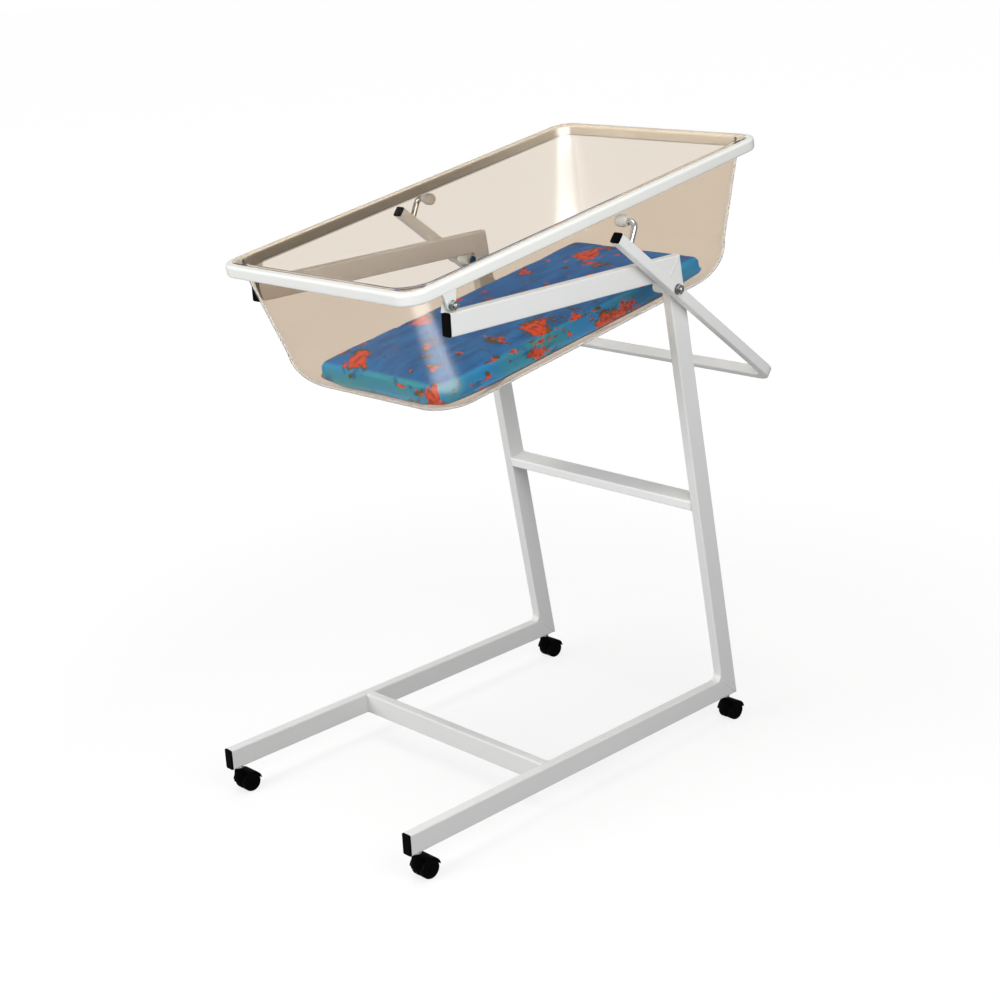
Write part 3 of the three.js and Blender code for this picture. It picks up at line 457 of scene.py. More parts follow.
FINISHES = {
    "white_paint": WHITE_PAINT,
    "rim_paint": RIM_PAINT,
    "tinted_acrylic": ACRYLIC,
    "mattress_cover": COVER,
    "black_plastic": BLACK_PLASTIC,
    "castor_tread": BLACK_TREAD,
    "nylon": NYLON,
    "bright_metal": BRIGHT,
    "castor_steel": STEEL,
    "rod_steel": STEEL,
}

# The CAD's nodes have the same finishes as the pieces that stand for them
for name, obj in NODES.items():
    for slot in obj.material_slots:
        slot.material = FINISHES[SLOT_OF[name]]


# Tub
TUB_CORNER_STEPS = 28
TUB_SIDE_STEPS = 6
TUB_FLOOR_STEPS = 26
LIP_ROUND = 0.7
# Painted shade at the collar: its strength at the rim's front and rear, and how it fades between them
COLLAR_SHADE_FRONT = 1.0
COLLAR_SHADE_REAR = 0.05
COLLAR_SHADE_FADE = 3


def tub_outline(depth, inset, rounding=0.0):
    """The tub's outline at a depth below the rim's underside."""
    share = max(depth, 0.0) / TUB_DEPTH
    pull = inset + rounding
    radius = TUB_CORNER + (TUB_FLOOR_CORNER - TUB_CORNER) * share - inset - rounding / 2
    return rounded_outline(
        -TUB_OUTER_X + TUB_SIDE_TAPER * share + pull,
        TUB_OUTER_X - TUB_SIDE_TAPER * share - pull,
        -RIM_OVERHANG + RIM_BAR + GAP + TUB_FRONT_TAPER * share + pull,
        RIM_LENGTH - RIM_OVERHANG - RIM_BAR - GAP - TUB_REAR_TAPER * share - pull,
        max(radius, 1.0),
        TUB_CORNER_STEPS,
        TUB_SIDE_STEPS,
    )


def tub_wall(inset):
    """Rings from the middle of the floor up to the rim's underside, at an inset into the wall."""
    straight = TUB_DEPTH - TUB_FLOOR_RADIUS
    radius = TUB_FLOOR_RADIUS - inset
    rings = []
    for i in range(TUB_FLOOR_STEPS, -1, -1):
        angle = math.pi / 2 * i / TUB_FLOOR_STEPS
        rounding = radius * (1 - math.cos(angle))
        outline = tub_outline(straight, inset, rounding)
        rings.append(at_height(outline, RIM_RISE - straight - radius * math.sin(angle)))
    for depth in (straight * 2 / 3, straight / 3, 0.0):
        rings.append(at_height(tub_outline(depth, inset), RIM_RISE - depth))
    return rings


def lip_outline(width):
    """The lip's outer outline, which fills the rim's tighter corners."""
    return rounded_outline(
        -TUB_OUTER_X - width,
        TUB_OUTER_X + width,
        -RIM_OVERHANG + RIM_BAR + GAP - width,
        RIM_LENGTH - RIM_OVERHANG - RIM_BAR - GAP + width,
        RIM_CORNER - RIM_BAR + width,
        TUB_CORNER_STEPS,
        TUB_SIDE_STEPS,
    )


def mark_collar_shade(tub, rings):
    """Marks the wall within the rim for painted shade, strongly at the front and hardly at the rear."""
    points = [point for ring in rings for point in ring]
    collar_shade = [0.0] * len(tub.data.loops)
    for face in tub.data.polygons:
        heights = [points[v][2] for v in face.vertices]
        if min(heights) > RIM_RISE - 1 and max(heights) - min(heights) > RIM_HEIGHT / 2:
            for loop, v in zip(face.loop_indices, face.vertices):
                share = (points[v][1] + RIM_OVERHANG) / RIM_LENGTH
                collar_shade[loop] = COLLAR_SHADE_FRONT + (COLLAR_SHADE_REAR - COLLAR_SHADE_FRONT) * share ** COLLAR_SHADE_FADE
    tub.data.attributes.new("collar_shade", "FLOAT", "CORNER").data.foreach_set("value", collar_shade)


def make_tub():
    """The shell: up its outer side, round the lip and down its inner side."""
    bottom = RIM_RISE + RIM_HEIGHT + GAP
    top = bottom + LIP_THICKNESS
    rings = tub_wall(0.0)
    # Each ring has its own place on the lip's rounded edges
    rings += [
        at_height(tub_outline(0.0, 0.0), bottom - 1.2),
        at_height(tub_outline(0.0, -0.8), bottom),
        at_height(lip_outline(LIP_WIDTH - 0.4), bottom),
        at_height(lip_outline(LIP_WIDTH), bottom + 0.5),
        at_height(lip_outline(LIP_WIDTH), top - LIP_ROUND),
        at_height(lip_outline(LIP_WIDTH - LIP_ROUND), top),
        at_height(tub_outline(0.0, 0.5), top),
        at_height(tub_outline(0.0, 2.4), top - LIP_ROUND),
        at_height(tub_outline(0.0, TUB_WALL), top - 3.0),
    ]
    rings += reversed(tub_wall(TUB_WALL))
    tub = weighted(mesh_object("tub", *skin(rings), ACRYLIC, TUB))
    mark_collar_shade(tub, rings)
    return carry(tub, "tub", "tinted_acrylic", "tub_shell")


TUB_PIECE = make_tub()


# Rim
RIM_EDGE_STEPS = 5
RIM_CORNER_STEPS = 18


def make_rim():
    """The rim's bar, whose rounded section is drawn out into rings round the tub."""
    rings = []
    for inset, z in rounded_outline(0.0, RIM_BAR, 0.0, RIM_HEIGHT, RIM_EDGE, RIM_EDGE_STEPS):
        outline = rounded_outline(
            -RIM_OUTER_X + inset,
            RIM_OUTER_X - inset,
            -RIM_OVERHANG + inset,
            RIM_LENGTH - RIM_OVERHANG - inset,
            RIM_CORNER - inset,
            RIM_CORNER_STEPS,
        )
        rings.append(at_height(outline, RIM_RISE + z))
    rings.reverse()
    rim = weighted(mesh_object("rim", *skin(rings, close_rings=True), RIM_PAINT, TUB))
    carry(rim, "tub", "rim_paint", "rim_frame")


make_rim()


# Mattress, shaped in metres; only its welt's radius is in millimetres
TUB_PLACE = Matrix.Translation(MM * HINGE) @ Matrix.Rotation(TUB_TILT, 4, "X")
PAD_DRAWN_IN = 2.5 * MM
PAD_VOXEL = 6 * MM
PAD_PRESSURE = 4.0
PAD_SWELL = 6 * MM
PAD_STEPS = 20
PAD_CLEARANCE = 0.4 * MM
PAD_NEAR_WALL = 10 * MM
FACING_DOWN = -0.3
FACING_OUT = 0.3
CREASE_SIZES = (0.085, 0.11, 0.06)
PUCKER_SIZE = 0.03
PUCKER_HEIGHT = 0.2
PUCKER_SHIFT = 7
CREASE_DEPTH = 0.9
EDGE_POWER = 4
PRINT_EDGE = 9 * MM
WELT_HEIGHT = 5 * MM
WELT_RADIUS = 1.3
WELT_CORNER = 0.03
WELT_CORNER_STEPS = 12
WELT_SIDE_STEPS = 40
WELT_PROBE = 0.03
WELT_REACH = 0.12


def corners_of(mesh):
    """A mesh's lowest and highest corner."""
    points = [v.co for v in mesh.vertices]
    low = Vector([min(p[i] for p in points) for i in range(3)])
    high = Vector([max(p[i] for p in points) for i in range(3)])
    return low, high


def pad_start():
    """The pad in the tub's frame, a little smaller than it will be and cut into even faces."""
    mesh = NODES["mattress"].data.copy()
    mesh.transform(TUB_PLACE.inverted())
    low, high = corners_of(mesh)
    middle = (low + high) / 2
    middle.z = low.z
    for vertex in mesh.vertices:
        for i in range(3):
            share = 1 - 2 * PAD_DRAWN_IN / (high[i] - low[i])
            vertex.co[i] = middle[i] + (vertex.co[i] - middle[i]) * share
    pad = bpy.data.objects.new("mattress_cover", mesh)
    bpy.context.scene.collection.objects.link(pad)
    remesh = pad.modifiers.new("remesh", "REMESH")
    remesh.mode = "VOXEL"
    remesh.voxel_size = PAD_VOXEL
    return applied(pad)


def swell(pad):
    """Lets the cover fill out by cloth under pressure, except where it lies on the tub's floor."""
    start = [(vertex.co.copy(), vertex.normal.z) for vertex in pad.data.vertices]
    cloth = pad.modifiers.new("cloth", "CLOTH")
    cloth.settings.use_pressure = True
    cloth.settings.uniform_pressure_force = PAD_PRESSURE
    cloth.settings.effector_weights.gravity = 0
    scene = bpy.context.scene
    for step in range(1, PAD_STEPS + 1):
        scene.frame_set(step)
    applied(pad)
    scene.frame_set(1)
    for vertex, (before, facing) in zip(pad.data.vertices, start):
        move = vertex.co - before
        if facing < FACING_DOWN:
            move = Vector()
        if move.length > PAD_SWELL:
            move *= PAD_SWELL / move.length
        vertex.co = before + move


def crease(pad):
    """Shallow waves in the cover, deeper near its edges."""
    low, high = corners_of(pad.data)
    half = (high - low) / 2
    middle = (high + low) / 2
    for vertex in pad.data.vertices:
        if vertex.normal.z < FACING_DOWN:
            continue
        x, y, z = vertex.co
        edge = max(abs(x - middle.x) / half.x, abs(y - middle.y) / half.y) ** EDGE_POWER
        shallow = field.noise(Vector([c / size for c, size in zip((x, y, z), CREASE_SIZES)]))
        spot = (x / PUCKER_SIZE, y / PUCKER_SIZE, z / PUCKER_HEIGHT + PUCKER_SHIFT)
        pucker = field.noise(Vector(spot))
        vertex.co += vertex.normal * MM * (CREASE_DEPTH * shallow + CREASE_DEPTH * edge * pucker)


def keep_clear(pad):
    """Holds the cover just inside the tub, where it swelled against the wall."""
    tub = TUB_PIECE.data.copy()
    tub.transform(TUB_PLACE.inverted())
    faces = [face.vertices for face in tub.polygons]
    tree = BVHTree.FromPolygons([vertex.co for vertex in tub.vertices], faces)
    for vertex in pad.data.vertices:
        spot, facing, _, distance = tree.find_nearest(vertex.co)
        if distance < PAD_NEAR_WALL and (vertex.co - spot).dot(facing) < PAD_CLEARANCE:
            vertex.co = spot + facing * PAD_CLEARANCE


def mark_print(pad):
    """Where each point lies on the printed cloth: across, along, and how far down a side."""
    edge = corners_of(pad.data)[1].z - PRINT_EDGE
    places = []
    for vertex in pad.data.vertices:
        outward = Vector(vertex.normal.xy)
        down = max(edge - vertex.co.z, 0.0) if outward.length > FACING_OUT else 0.0
        spot = Vector(vertex.co.xy)
        if down:
            spot += outward.normalized() * down
        places += [spot.x, spot.y, down]
    attribute = pad.data.attributes.new("print", "FLOAT_VECTOR", "POINT")
    attribute.data.foreach_set("vector", places)


def welt_path(pad, height):
    """A line round the pad's sides at a height, on the cover's surface."""
    low, high = corners_of(pad.data)
    tree = BVHTree.FromObject(pad, bpy.context.evaluated_depsgraph_get())
    outline = rounded_outline(
        low.x, high.x, low.y, high.y, WELT_CORNER, WELT_CORNER_STEPS, WELT_SIDE_STEPS
    )
    path = []
    for i, spot in enumerate(outline):
        along = outline[(i + 1) % len(outline)] - outline[i - 1]
        inward = Vector((-along.y, along.x, 0)).normalized()
        origin = Vector((spot.x, spot.y, height)) - WELT_PROBE * inward
        hit = tree.ray_cast(origin, inward, WELT_REACH)[0]
        if hit is not None:
            path.append(hit / MM)
    return path


def make_mattress():
    """The padded cover, shaped in the tub's frame, and its welt."""
    pad = pad_start()
    swell(pad)
    crease(pad)
    pad.modifiers.new("subdivision", "SUBSURF").levels = 1
    applied(pad)
    keep_clear(pad)
    mark_print(pad)
    low = corners_of(pad.data)[0]
    path = welt_path(pad, low.z + WELT_HEIGHT)
    welt = mesh_object("mattress_welt", *bead(path, WELT_RADIUS), NAVY_WELT, TUB)
    pad.data.transform(TUB_PLACE)
    pad.data.shade_smooth()
    pad.data.materials.clear()
    pad.data.materials.append(COVER)
    carry(pad, "tub", "mattress_cover", "mattress")
    carry(welt, "tub", "mattress_cover")


make_mattress()


# Rigid pieces with their edges rounded off
MERGED = 0.01 * MM
FLAT = math.radians(1)
SHARP = math.radians(40)
EDGES = {
    "cap": 0.6,
    "lug": 0.6,
    "bolt": 0.4,
    "nut": 0.4,
    "bush": 0.5,
    "roller": 0.5,
    "stem": 0.5,
    "housing": 0.5,
    "wheel": 0.5,
}
OTHER_EDGES = 0.3


def soften(name):
    """A smooth copy of a node with its sharp edges rounded off, which stands for it."""
    shape = bmesh.new()
    shape.from_mesh(NODES[name].data)
    bmesh.ops.remove_doubles(shape, verts=shape.verts, dist=MERGED)
    bmesh.ops.dissolve_limit(shape, angle_limit=FLAT, verts=shape.verts, edges=shape.edges)
    manifold = [edge for edge in shape.edges if edge.is_manifold]
    sharp = [edge for edge in manifold if edge.calc_face_angle() > SHARP]
    width = EDGES.get(name.split("_")[-1], OTHER_EDGES)
    bmesh.ops.bevel(
        shape,
        geom=sharp,
        offset=width * MM,
        segments=2,
        profile=0.5,
        affect="EDGES",
        clamp_overlap=True,
    )
    shape.verts.index_update()
    points = [vertex.co / MM for vertex in shape.verts]
    faces = [[vertex.index for vertex in face.verts] for face in shape.faces]
    shape.free()
    slot = SLOT_OF[name]
    piece = weighted(mesh_object(f"{name}_piece", points, faces, FINISHES[slot]))
    return carry(piece, BODY_OF[name], slot, name)


SOFTENED = {}
for name in sorted(NODES):
    if name not in ("tub_shell", "rim_frame", "mattress"):
        SOFTENED[name] = soften(name)


# Threads on the bolts' ends, and caps on the wheels' hubs
THREAD_PITCH = 1.25
THREAD_STEPS = 20
THREAD_RIDGE = 0.36
THREAD_END = 0.9
HINGE_THREAD = 3.95
LEVER_THREAD = 4.95
HUB_DISH = 1.15
HUB_PROFILE = (
    (0.0, 6.4), (0.45, 6.4), (0.75, 6.0), (0.85, 5.2), (0.85, 2.6), (0.6, 2.2), (0.6, 0.3),
)


def make_thread(bolt, nut, sign, radius):
    """The ridge of a thread on the stretch of a bolt beyond its nut."""
    low, high = box(bolt)
    middle = (low + high) / 2
    end = (high.x if sign > 0 else low.x) - sign * THREAD_END
    start = box(nut)[1].x if sign > 0 else box(nut)[0].x
    turns = abs(end - start) / THREAD_PITCH
    steps = round(turns * THREAD_STEPS)
    path = []
    for i in range(steps + 1):
        angle = 2 * math.pi * turns * i / steps
        x = start + (end - start) * i / steps
        y = middle.y + radius * math.cos(angle)
        path.append((x, y, middle.z + radius * math.sin(angle)))
    ridge = bead(path, THREAD_RIDGE, sides=6, closed=False)
    thread = mesh_object(f"{bolt}_thread", *ridge, BRIGHT)
    carry(thread, BODY_OF[bolt], SLOT_OF[bolt])


def make_hub(wheel, sign):
    """A domed cap in the dish of a wheel's outer face."""
    low, high = box(wheel)
    middle = (low + high) / 2
    dish = (high.x if sign > 0 else low.x) - sign * HUB_DISH
    points, faces = turned([(sign * x, radius) for x, radius in HUB_PROFILE])
    if sign < 0:
        faces = [tuple(reversed(face)) for face in faces]
    place = Matrix.Translation((dish, middle.y, middle.z))
    hub = mesh_object(f"{wheel}_hub", points, faces, BLACK_PLASTIC, place)
    carry(hub, BODY_OF[wheel], "black_plastic")


for side, sign in SIDES:
    make_thread(f"{side}_hinge_bolt", f"{side}_hinge_nut", sign, HINGE_THREAD)
    make_thread(f"{side}_lever_bolt", f"{side}_lever_nut", sign, LEVER_THREAD)
    for castor in ("front_left", "front_right", "rear_left", "rear_right"):
        make_hub(f"{castor}_castor_{side}_wheel", sign)


# Welds under the paint
SEAM_CORNER_STEPS = 4
SEAM_REACH = 3.0
SEAM_SHOULDER = 1.2
SEAM_EDGE_RISE = 0.03
SEAM_SHOULDER_RISE = 0.22
SEAM_TOP_RISE = 0.28
SEAM_SUNK = -0.5
FILLET = 11.0
FILLET_STEPS = 8
FILLET_RUN_OUT = 1.5
FILLET_SUNK = 0.4
FILLET_SIDE = 0.9
FILLET_SIDE_SIZE = 0.72
END_WELD = 1.4
END_WELD_SUNK = 0.5
ROD_WELD = 1.1
ROD_WELD_ACROSS = 5.9
ROD_WELD_ALONG = 6.1
ROD_WELD_LIFT = 0.2
ROD_WELD_STEPS = 48
LUG_WELD = 0.9
LUG_WELD_OUT = 0.2
LUG_WELD_CORNER = 0.8
LUG_WELD_LIFT = 0.3
LUG_RIPPLE = 0.1
BUSH_WELD = 0.9
BUSH_WELD_AWAY = 2.6
BUSH_WELD_INSET = 1
BUSH_WELD_STEPS = 40


def seam_band(name, x, corner, first, second):
    """A ground weld round a mitre between two tubes that leave a corner in two directions."""
    half_turn = math.tan(first.angle(second) / 2)
    first_side = (second - first * first.dot(second)).normalized()
    second_side = (first - second * first.dot(second)).normalized()

    def ring(along, across, reach, grow):
        outline = rounded_outline(
            -TUBE_WIDTH / 2 - grow,
            TUBE_WIDTH / 2 + grow,
            -TUBE_DEPTH / 2 - grow,
            TUBE_DEPTH / 2 + grow,
            TUBE_CORNER + grow,
            SEAM_CORNER_STEPS,
        )
        points = []
        for width, depth in outline:
            spot = corner + across * depth + along * (depth / half_turn + reach)
            points.append((x + width, spot.x, spot.y))
        return points

    rings = [
        ring(first, first_side, SEAM_REACH, SEAM_EDGE_RISE),
        ring(first, first_side, SEAM_SHOULDER, SEAM_SHOULDER_RISE),
        ring(first, first_side, 0.0, SEAM_TOP_RISE),
        ring(second, second_side, SEAM_SHOULDER, SEAM_SHOULDER_RISE),
        ring(second, second_side, SEAM_REACH, SEAM_EDGE_RISE),
        ring(second, second_side, SEAM_REACH, SEAM_SUNK),
        ring(first, first_side, 0.0, SEAM_SUNK),
        ring(first, first_side, SEAM_REACH, SEAM_SUNK),
    ]
    if first.cross(second) < 0:
        rings.reverse()
    band = mesh_object(name, *skin(rings, close_rings=True), WHITE_PAINT)
    carry(band, "frame", "white_paint")


def corner_fillet(name, x, corner, first, second):
    """The weld that rounds off the inside of a corner between two tubes."""
    half_angle = first.angle(second) / 2
    middle = (first + second).normalized()
    inner = corner + middle * (TUBE_DEPTH / 2 / math.sin(half_angle))
    reach = FILLET / math.tan(half_angle)
    centre = inner + middle * (FILLET / math.sin(half_angle))
    start = inner + first * reach - centre
    end = inner + second * reach - centre
    run_out = reach + FILLET_RUN_OUT
    first_sunk = inner + first * run_out + start.normalized() * FILLET_SUNK
    second_sunk = inner + second * run_out + end.normalized() * FILLET_SUNK
    section = [inner - middle, first_sunk]
    for i in range(FILLET_STEPS + 1):
        spoke = start.lerp(end, i / FILLET_STEPS).normalized() * FILLET
        section.append(centre + spoke)
    section.append(second_sunk)
    rings = []
    flat = TUBE_WIDTH / 2 - TUBE_CORNER / 2
    edge = flat + FILLET_SIDE
    for across, size in (
        (-edge, FILLET_SIDE_SIZE), (-flat, 1.0), (flat, 1.0), (edge, FILLET_SIDE_SIZE),
    ):
        rings.append([(x + across, *inner.lerp(spot, size)) for spot in section])
    if first.cross(second) < 0:
        rings.reverse()
    fillet = weighted(mesh_object(name, *skin(rings), WHITE_PAINT))
    carry(fillet, "frame", "white_paint")


def end_weld(name, x, y, z, depth, height, lean):
    """A small bead round a cross rail where it meets a side frame."""
    half_depth = depth / 2 - END_WELD_SUNK
    half_height = height / 2 - END_WELD_SUNK
    outline = rounded_outline(
        -half_depth, half_depth, -half_height, half_height, TUBE_CORNER, steps=5, side_steps=24
    )
    turn = Matrix.Rotation(lean, 3, "X")
    path = [Vector((x, y, z)) + turn @ Vector((0, across, up)) for across, up in outline]
    weld = mesh_object(name, *bead(path, END_WELD, ripple=WELD_RIPPLE), WHITE_PAINT)
    carry(weld, "frame", "white_paint")


def make_frame_welds():
    """Seams and fillets at the side frames' corners, and beads at the cross rails' ends.

    The corners and the directions of the tubes are in the side frames' plane, as (y, z).
    """
    forward = Vector((-1.0, 0.0))
    rising = Vector((-math.sin(UPRIGHT_LEAN), math.cos(UPRIGHT_LEAN)))
    lower_turn = math.pi / 4 + UPRIGHT_LEAN / 2
    upper_turn = math.pi / 4 - UPRIGHT_LEAN / 2
    half = TUBE_DEPTH / 2
    lower = Vector((RAIL_HIGH.y - half * math.tan(lower_turn), RAIL_HIGH.z - half))
    upper = Vector((TOP_RAIL_HIGH.y - half * math.tan(upper_turn), TOP_RAIL_HIGH.z - half))
    cross_low, cross_high = box("floor_cross_rail")
    stretcher_low, stretcher_high = box("upright_cross_rail")
    cross = (cross_low + cross_high) / 2
    stretcher = (stretcher_low + stretcher_high) / 2
    for side, sign in SIDES:
        seam_band(f"{side}_lower_seam", sign * RAIL_X, lower, forward, rising)
        seam_band(f"{side}_upper_seam", sign * RAIL_X, upper, forward, -rising)
        corner_fillet(f"{side}_lower_fillet", sign * RAIL_X, lower, forward, rising)
        x = sign * (RAIL_INNER_X - GAP)
        end_weld(f"{side}_cross_rail_weld", x, cross.y, cross.z, TUBE_WIDTH, TUBE_DEPTH, 0.0)
        end_weld(
            f"{side}_stretcher_weld", x, stretcher.y, stretcher.z,
            TUBE_DEPTH, TUBE_WIDTH, UPRIGHT_LEAN,
        )


make_frame_welds()


def make_small_welds():
    """Beads round the rods' feet and the rail lugs' feet, and beside the lever's bushes."""
    axis = LEVER.inverted() @ AXES["left_roller_spin"]
    foot_y = ROD_FOOT + (axis.y - ROD_FOOT) * LEVER_TUBE / 2 / axis.z
    bush = box("right_lever_bush")
    bush_radius = (bush[1].z - bush[0].z) / 2
    bush_width = TUBE_WIDTH - 2 * BUSH_WELD_INSET
    turns = [2 * math.pi * i / ROD_WELD_STEPS for i in range(ROD_WELD_STEPS)]
    for side, sign in SIDES:
        foot = []
        for turn in turns:
            x = sign * LEVER_X + ROD_WELD_ACROSS * math.cos(turn)
            foot.append((x, foot_y + ROD_WELD_ALONG * math.sin(turn)))
        ring = bead(at_height(foot, LEVER_TUBE / 2 + ROD_WELD_LIFT), ROD_WELD, ripple=WELD_RIPPLE)
        rod = mesh_object(f"{side}_rod_weld", *ring, WHITE_PAINT, LEVER)
        carry(rod, "lever", "white_paint")
        low, high = box(f"{side}_rail_hinge_lug")
        foot = rounded_outline(
            low.x - LUG_WELD_OUT,
            high.x + LUG_WELD_OUT,
            low.y - LUG_WELD_OUT,
            high.y + LUG_WELD_OUT,
            LUG_WELD_CORNER,
            steps=3,
            side_steps=16,
        )
        ring = bead(at_height(foot, TOP_RAIL_HIGH.z + LUG_WELD_LIFT), LUG_WELD, ripple=LUG_RIPPLE)
        lug = mesh_object(f"{side}_lug_weld", *ring, WHITE_PAINT)
        carry(lug, "frame", "white_paint")
        across = []
        for i in range(BUSH_WELD_STEPS + 1):
            along = bush_width * i / BUSH_WELD_STEPS
            across.append(sign * (RAIL_INNER_X + BUSH_WELD_INSET + along))
        for name, away in (("front", -1), ("rear", 1)):
            y = PIVOT.y + away * BUSH_WELD_AWAY
            run = [(x, y, PIVOT.z + bush_radius) for x in across]
            line = bead(run, BUSH_WELD, closed=False, ripple=WELD_RIPPLE)
            weld = mesh_object(f"{side}_bush_{name}_weld", *line, WHITE_PAINT)
            carry(weld, "frame", "white_paint")


make_small_welds()


# Stage: camera, light and floor. The lamps and the floor's glow are in metres and watts.
CAMERA_PLACE = (2397.4, -2243.4, 1583.0)
CAMERA_AZIMUTH = math.radians(46.77)
CAMERA_ELEVATION = math.radians(18.14)
CAMERA_ROLL = math.radians(-3.2)
CAMERA_FOCAL_PIXELS = 1837.6
IMAGE_PIXELS = 1000
SENSOR = 36.0


def make_camera():
    """A camera at the photograph's place, turn, tilt and roll."""
    look = Vector((
        -math.sin(CAMERA_AZIMUTH) * math.cos(CAMERA_ELEVATION),
        math.cos(CAMERA_AZIMUTH) * math.cos(CAMERA_ELEVATION),
        -math.sin(CAMERA_ELEVATION),
    ))
    across = Vector((math.cos(CAMERA_AZIMUTH), math.sin(CAMERA_AZIMUTH), 0))
    upright = across.cross(look)
    right = math.cos(CAMERA_ROLL) * across + math.sin(CAMERA_ROLL) * upright
    up = -math.sin(CAMERA_ROLL) * across + math.cos(CAMERA_ROLL) * upright
    data = bpy.data.cameras.new("camera")
    data.sensor_width = SENSOR
    data.lens = SENSOR * CAMERA_FOCAL_PIXELS / IMAGE_PIXELS
    data.clip_start = 0.05
    camera = bpy.data.objects.new("camera", data)
    place = Matrix((right, up, -look)).transposed().to_4x4()
    place.translation = MM * Vector(CAMERA_PLACE)
    camera.matrix_world = place
    bpy.context.scene.collection.objects.link(camera)
    bpy.context.scene.camera = camera


def area_light(name, place, target, width, height, power):
    data = bpy.data.lights.new(name, "AREA")
    data.shape = "RECTANGLE"
    data.size = width
    data.size_y = height
    data.energy = power
    lamp = bpy.data.objects.new(name, data)
    lamp.location = place
    lamp.rotation_euler = (Vector(target) - Vector(place)).to_track_quat("-Z", "Y").to_euler()
    lamp.visible_camera = False
    bpy.context.scene.collection.objects.link(lamp)
    return lamp


# Distances from its target within which a gloss lamp shows fully and at all, in metres
GLOSS_INSIDE = 0.10
GLOSS_OUTSIDE = 0.17


def unscattered(tree, path):
    """1 for rays that no matt surface has scattered yet."""
    return math_node(tree, "LESS_THAN", path.outputs["Diffuse Depth"], 0.5)


def gloss_light(name, place, target, width, height, power):
    """A lamp that shows only as a highlight on the tub's corner at the target.

    Its nodes find the point that it lights, and how far that is from the target in plan.
    """
    lamp = area_light(name, place, target, width, height, power)
    lamp.data.use_nodes = True
    tree = lamp.data.node_tree
    geometry = node(tree, "ShaderNodeNewGeometry")
    path = node(tree, "ShaderNodeLightPath")
    way = node(tree, "ShaderNodeVectorMath", operation="SCALE")
    tree.links.new(geometry.outputs["Incoming"], way.inputs[0])
    tree.links.new(path.outputs["Ray Length"], way.inputs["Scale"])
    lit = node(tree, "ShaderNodeVectorMath", operation="ADD")
    tree.links.new(geometry.outputs["Position"], lit.inputs[0])
    tree.links.new(way.outputs[0], lit.inputs[1])
    offset = node(tree, "ShaderNodeVectorMath", operation="MULTIPLY_ADD")
    tree.links.new(lit.outputs[0], offset.inputs[0])
    offset.inputs[1].default_value = (1, 1, 0)
    offset.inputs[2].default_value = (-target[0], -target[1], 0)
    distance = node(tree, "ShaderNodeVectorMath", operation="LENGTH")
    tree.links.new(offset.outputs[0], distance.inputs[0])
    inside = spread(tree, distance.outputs["Value"], 1.0, 0.0, GLOSS_INSIDE, GLOSS_OUTSIDE)
    strength = math_node(tree, "MULTIPLY", inside, unscattered(tree, path))
    tree.links.new(strength, tree.nodes["Emission"].inputs["Strength"])
    lamp.visible_diffuse = False
    lamp.visible_transmission = False
    lamp.data.use_shadow = False
    lamp.light_linking.receiver_collection = SHINY


def seen_ray(tree):
    """1 for rays that see the background from the camera or through glass, and 0 for its light."""
    path = node(tree, "ShaderNodeLightPath")
    through = path.outputs["Is Transmission Ray"]
    seen = math_node(tree, "MAXIMUM", path.outputs["Is Camera Ray"], through)
    return math_node(tree, "MULTIPLY", seen, unscattered(tree, path))


WORLD_LIGHT = 0.36
FLOOR_GREY = 0.20
FLOOR_GLOW_NEAR = 0.79
FLOOR_GLOW_FAR = 0.92
FLOOR_GLOW_START = 0.9
FLOOR_GLOW_END = 2.6
FLOOR_BOUNCE = 0.16
FLOOR_SIZE = 60000
WHITE = (1, 1, 1, 1)


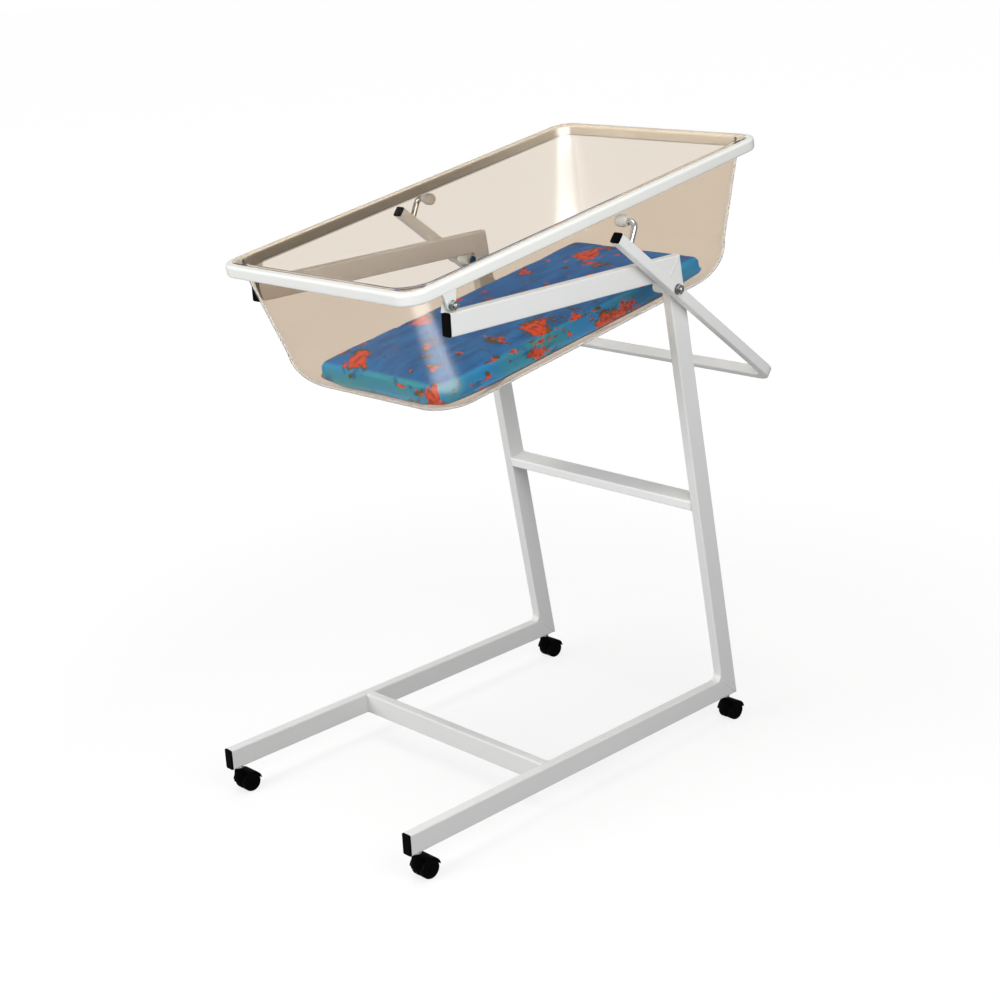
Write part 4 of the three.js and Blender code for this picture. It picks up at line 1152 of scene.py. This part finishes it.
def make_world():
    """A white backdrop whose own light is dimmer than it looks."""
    world = bpy.data.worlds.new("studio")
    bpy.context.scene.world = world
    world.use_nodes = True
    tree = world.node_tree
    background = tree.nodes["Background"]
    put(background, {"Color": WHITE})
    strength = spread(tree, seen_ray(tree), WORLD_LIGHT, 1.0, 0.0, 1.0)
    tree.links.new(strength, background.inputs["Strength"])


def make_floor():
    """A floor that keeps the object's shadow, and glows to white past the lamps' reach."""
    material, tree, bsdf = new_material("studio_floor")
    put(bsdf, {
        "Base Color": (FLOOR_GREY, FLOOR_GREY, FLOOR_GREY, 1),
        "Roughness": 0.9,
        "Specular IOR Level": 0.0,
        "Emission Color": WHITE,
    })
    distance = node(tree, "ShaderNodeVectorMath", operation="LENGTH")
    tree.links.new(object_coords(tree), distance.inputs[0])
    near, far = FLOOR_GLOW_NEAR - FLOOR_BOUNCE, FLOOR_GLOW_FAR - FLOOR_BOUNCE
    away = distance.outputs["Value"]
    glow = spread(tree, away, near, far, FLOOR_GLOW_START, FLOOR_GLOW_END)
    seen = math_node(tree, "MULTIPLY", glow, seen_ray(tree))
    tree.links.new(math_node(tree, "ADD", seen, FLOOR_BOUNCE), bsdf.inputs["Emission Strength"])
    half = FLOOR_SIZE / 2
    points = [(-half, -half, 0), (half, -half, 0), (half, half, 0), (-half, half, 0)]
    mesh_object("floor", points, [(0, 1, 2, 3)], material)


make_camera()
make_world()
make_floor()
SHINY = bpy.data.collections.new("shiny")
SHINY.objects.link(TUB_PIECE)
SHADED = bpy.data.collections.new("shaded")
for name in ("upright_cross_rail", "tilt_lever"):
    SHADED.objects.link(SOFTENED[name])
area_light("front", (-1.0, -3.6, 1.3), (0, 0, 0.8), 2.0, 1.6, 76)
fill = area_light("fill", (0.5, -3.2, 0.9), (0, 0.4, 0.7), 1.5, 0.8, 19)
fill.light_linking.receiver_collection = SHADED
area_light("right", (1.75, -0.5, 1.6), (0, 0, 0.95), 1.2, 1.2, 22)
area_light("top", (-0.4, -0.6, 6.0), (0, 0, 0.5), 2.5, 2.5, 120)
gloss_light("corner_gloss", (1.65, -1.36, 0.66), (-0.19, 0.43, 1.0), 2.4, 1.4, 470)
gloss_light("low_gloss", (0.92, -0.73, 0.05), (0.2, -0.36, 0.87), 1.0, 0.8, 40)
bpy.context.scene.view_settings.view_transform = "Standard"
